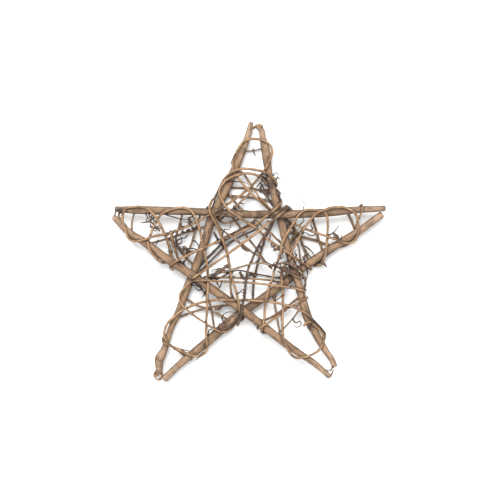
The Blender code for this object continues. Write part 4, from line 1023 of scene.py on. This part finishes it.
# %% Fray the vines and the broken bark
vine_rows = [line for name, line in sorted(lines.items()) if not name.startswith("stick_")]
broken_rows = rows["bark_tangles"] + rows["broken_stubs"]
FRAYING = [  # name, what it grows on, slot, how many on a square metre, shortest, longest, slenderness
    ("frayed_fibres", vine_rows, "vine_tan", 16000.0, 0.0012, 0.0042, 0.03),
    ("dark_thorns", vine_rows, "vine_brown", 5000.0, 0.0010, 0.0024, 0.13),
    ("bark_splinters", broken_rows, "vine_brown", 60000.0, 0.0012, 0.0034, 0.07),
]
FRAY_TONE = 0.3
FIRST_FRAY_SEED = 4

for number, (name, frayed, slot, density, shortest, longest, slenderness) in enumerate(FRAYING):
    settings = {
        "Density": density, "Shortest": shortest, "Longest": longest, "Slenderness": slenderness,
        "Tone": FRAY_TONE, "Seed": FIRST_FRAY_SEED + number,
    }
    growth[name] = (grow(name, frayed, fray_group, settings, woods[slot]), slot)
    print(name, "triangles:", len(growth[name][0].data.polygons) * 2)

# %% [markdown]
# ## Shade at the crossings, and bark that was left on
#
# Two more attributes are measured rather than grown. Painted contact shade says how near a point is to some
# other stem: there the colour is darkened as painted shade, because little light gets in. Bark marks a few
# patches where the sticks and vines still carry black-brown bark; the one in a gap between two sticks is
# painted shade, and the darkest, under a crossing, is partly painted shade.

# %% Measure the painted contact shade and mark the bark
PAINTED_SHADE_REACH = 0.0017
PAINTED_SHADE_POWER = 1.5  # how quickly the shade thins out towards its edge
PATCH_REACH = 1.3  # where the last flakes of a patch are, in its radii
PATCH_EDGE = 0.6


def painted_contact_shade_of(places, own, tree, radii, owner):
    """Painted shade: one where a place touches a stem other than its own, and zero beyond the reach."""
    painted_contact_shade = np.zeros(len(places), np.float32)
    reach = radii.max() + PAINTED_SHADE_REACH
    for i, place in enumerate(places):
        nearest = PAINTED_SHADE_REACH
        for _, j, distance in tree.find_range(place, reach):
            if owner[j] != own and distance - radii[j] < nearest:
                nearest = distance - radii[j]
        painted_contact_shade[i] = 1 - max(nearest, 0) / PAINTED_SHADE_REACH
    return painted_contact_shade**PAINTED_SHADE_POWER


def bark_of(places):
    """How thickly bark was left on at each place."""
    bark = np.zeros(len(places), np.float32)
    for x, y, size, strength in STAINS:
        far = np.hypot(*(places[:, :2] - from_photo((x, y))).T) / (size * PIXEL)
        bark = np.maximum(bark, strength * np.clip((PATCH_REACH - far) / PATCH_EDGE, 0, 1))
    return bark


points, radii, owner = stacked(lines)
tree = line_tree(points)
for own, name in enumerate(lines):
    mesh = stems[name].data
    places = np.empty(len(mesh.vertices) * 3, np.float32)
    mesh.vertices.foreach_get("co", places)
    places = places.reshape(-1, 3)
    marks = {"painted_contact_shade": painted_contact_shade_of(places, own, tree, radii, owner), "bark": bark_of(places)}
    for label, values in marks.items():
        mark = mesh.attributes.new(label, "FLOAT", "POINT")
        mark.data.foreach_set("value", values.astype(np.float32))
print("points marked:", sum(len(stem.data.vertices) for stem in stems.values()))

# %% Hand the pieces over
for name, stem in stems.items():
    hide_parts(name)
    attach(stem, "root")
    slot_of(name)
for thing, slot in growth.values():
    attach(thing, "root")

# %% [markdown]
# ## Floor, light and camera
#
# The star lies on white paper. A sky that is bright overhead and dim at the horizon gives soft light with
# dark flanks, and one broad lamp beyond the top of the star gives it a lit and a shaded side. The camera
# looks straight down from over a metre up, so the front is drawn only a little larger than the back.

# %% The paper
PAPER_WHITE = (0.8, 0.8, 0.795, 1)
PAPER_REACH = 1.5
PAPER_HEIGHT = -0.0003
PAPER_CORNERS = [(-1, -1), (1, -1), (1, 1), (-1, 1)]
PAPER_ROUGHNESS = 0.9

floor_mesh = bpy.data.meshes.new("floor")
corners = [(x * PAPER_REACH, y * PAPER_REACH, 0) for x, y in PAPER_CORNERS]
floor_mesh.from_pydata(corners, [], [(0, 1, 2, 3)])
floor_mesh.transform(Matrix.Translation((0, 0, PAPER_HEIGHT)))
floor = new_object("floor", floor_mesh)
paper = bpy.data.materials.new("white paper")
paper.use_nodes = True
paper.node_tree.nodes["Principled BSDF"].inputs["Base Color"].default_value = PAPER_WHITE
paper.node_tree.nodes["Principled BSDF"].inputs["Roughness"].default_value = PAPER_ROUGHNESS
floor_mesh.materials.append(paper)
print("paper:", 2 * PAPER_REACH, "m wide")

# %% The light
SKY_AT_HORIZON = 0.25
SKY_OVERHEAD = 1.6
SKY_FULL = 0.9  # the sine of the height at which the sky is at its brightest
KEY_POWER = 23.5
KEY_SIZE = 0.7
KEY_PLACE = Vector((-0.15, 0.55, 1.25))

world = bpy.data.worlds.new("studio")
world.use_nodes = True
sky = Tree(world.node_tree)
direction = sky.add("ShaderNodeTexCoord").outputs["Generated"]
height = sky.add("ShaderNodeSeparateXYZ", {"Vector": direction}).outputs["Z"]
strength = sky.ramp(height, 0.0, SKY_FULL, SKY_AT_HORIZON, SKY_OVERHEAD)
sky.tree.links.new(strength, world.node_tree.nodes["Background"].inputs["Strength"])
world.node_tree.nodes["Background"].inputs["Color"].default_value = (1, 1, 1, 1)
bpy.context.scene.world = world
bpy.context.scene.view_settings.view_transform = "Standard"

key = bpy.data.lights.new("key_light", "AREA")
key.shape = "DISK"
key.size = KEY_SIZE
key.energy = KEY_POWER
lamp = new_object("key_light", key)
lamp.location = KEY_PLACE
lamp.rotation_euler = (-KEY_PLACE).to_track_quat("-Z", "Y").to_euler()
print("key light:", KEY_POWER, "W at", tuple(round(v, 2) for v in KEY_PLACE))

# %% The camera
PHOTO_PIXELS = 500
CAMERA_HEIGHT = 1.1
MIDDLE_HEIGHT = 0.012  # the height at which the photograph's scale was measured

camera = bpy.data.cameras.new("camera")
camera.sensor_width = 36
camera.lens = camera.sensor_width * (CAMERA_HEIGHT - MIDDLE_HEIGHT) / (PHOTO_PIXELS * PIXEL)
camera.dof.use_dof = False
eye = new_object("camera", camera)
eye.location = (*from_photo((PHOTO_PIXELS / 2, PHOTO_PIXELS / 2)), CAMERA_HEIGHT)
bpy.context.scene.camera = eye
print("camera:", round(camera.lens, 1), "mm lens,", CAMERA_HEIGHT, "m up")
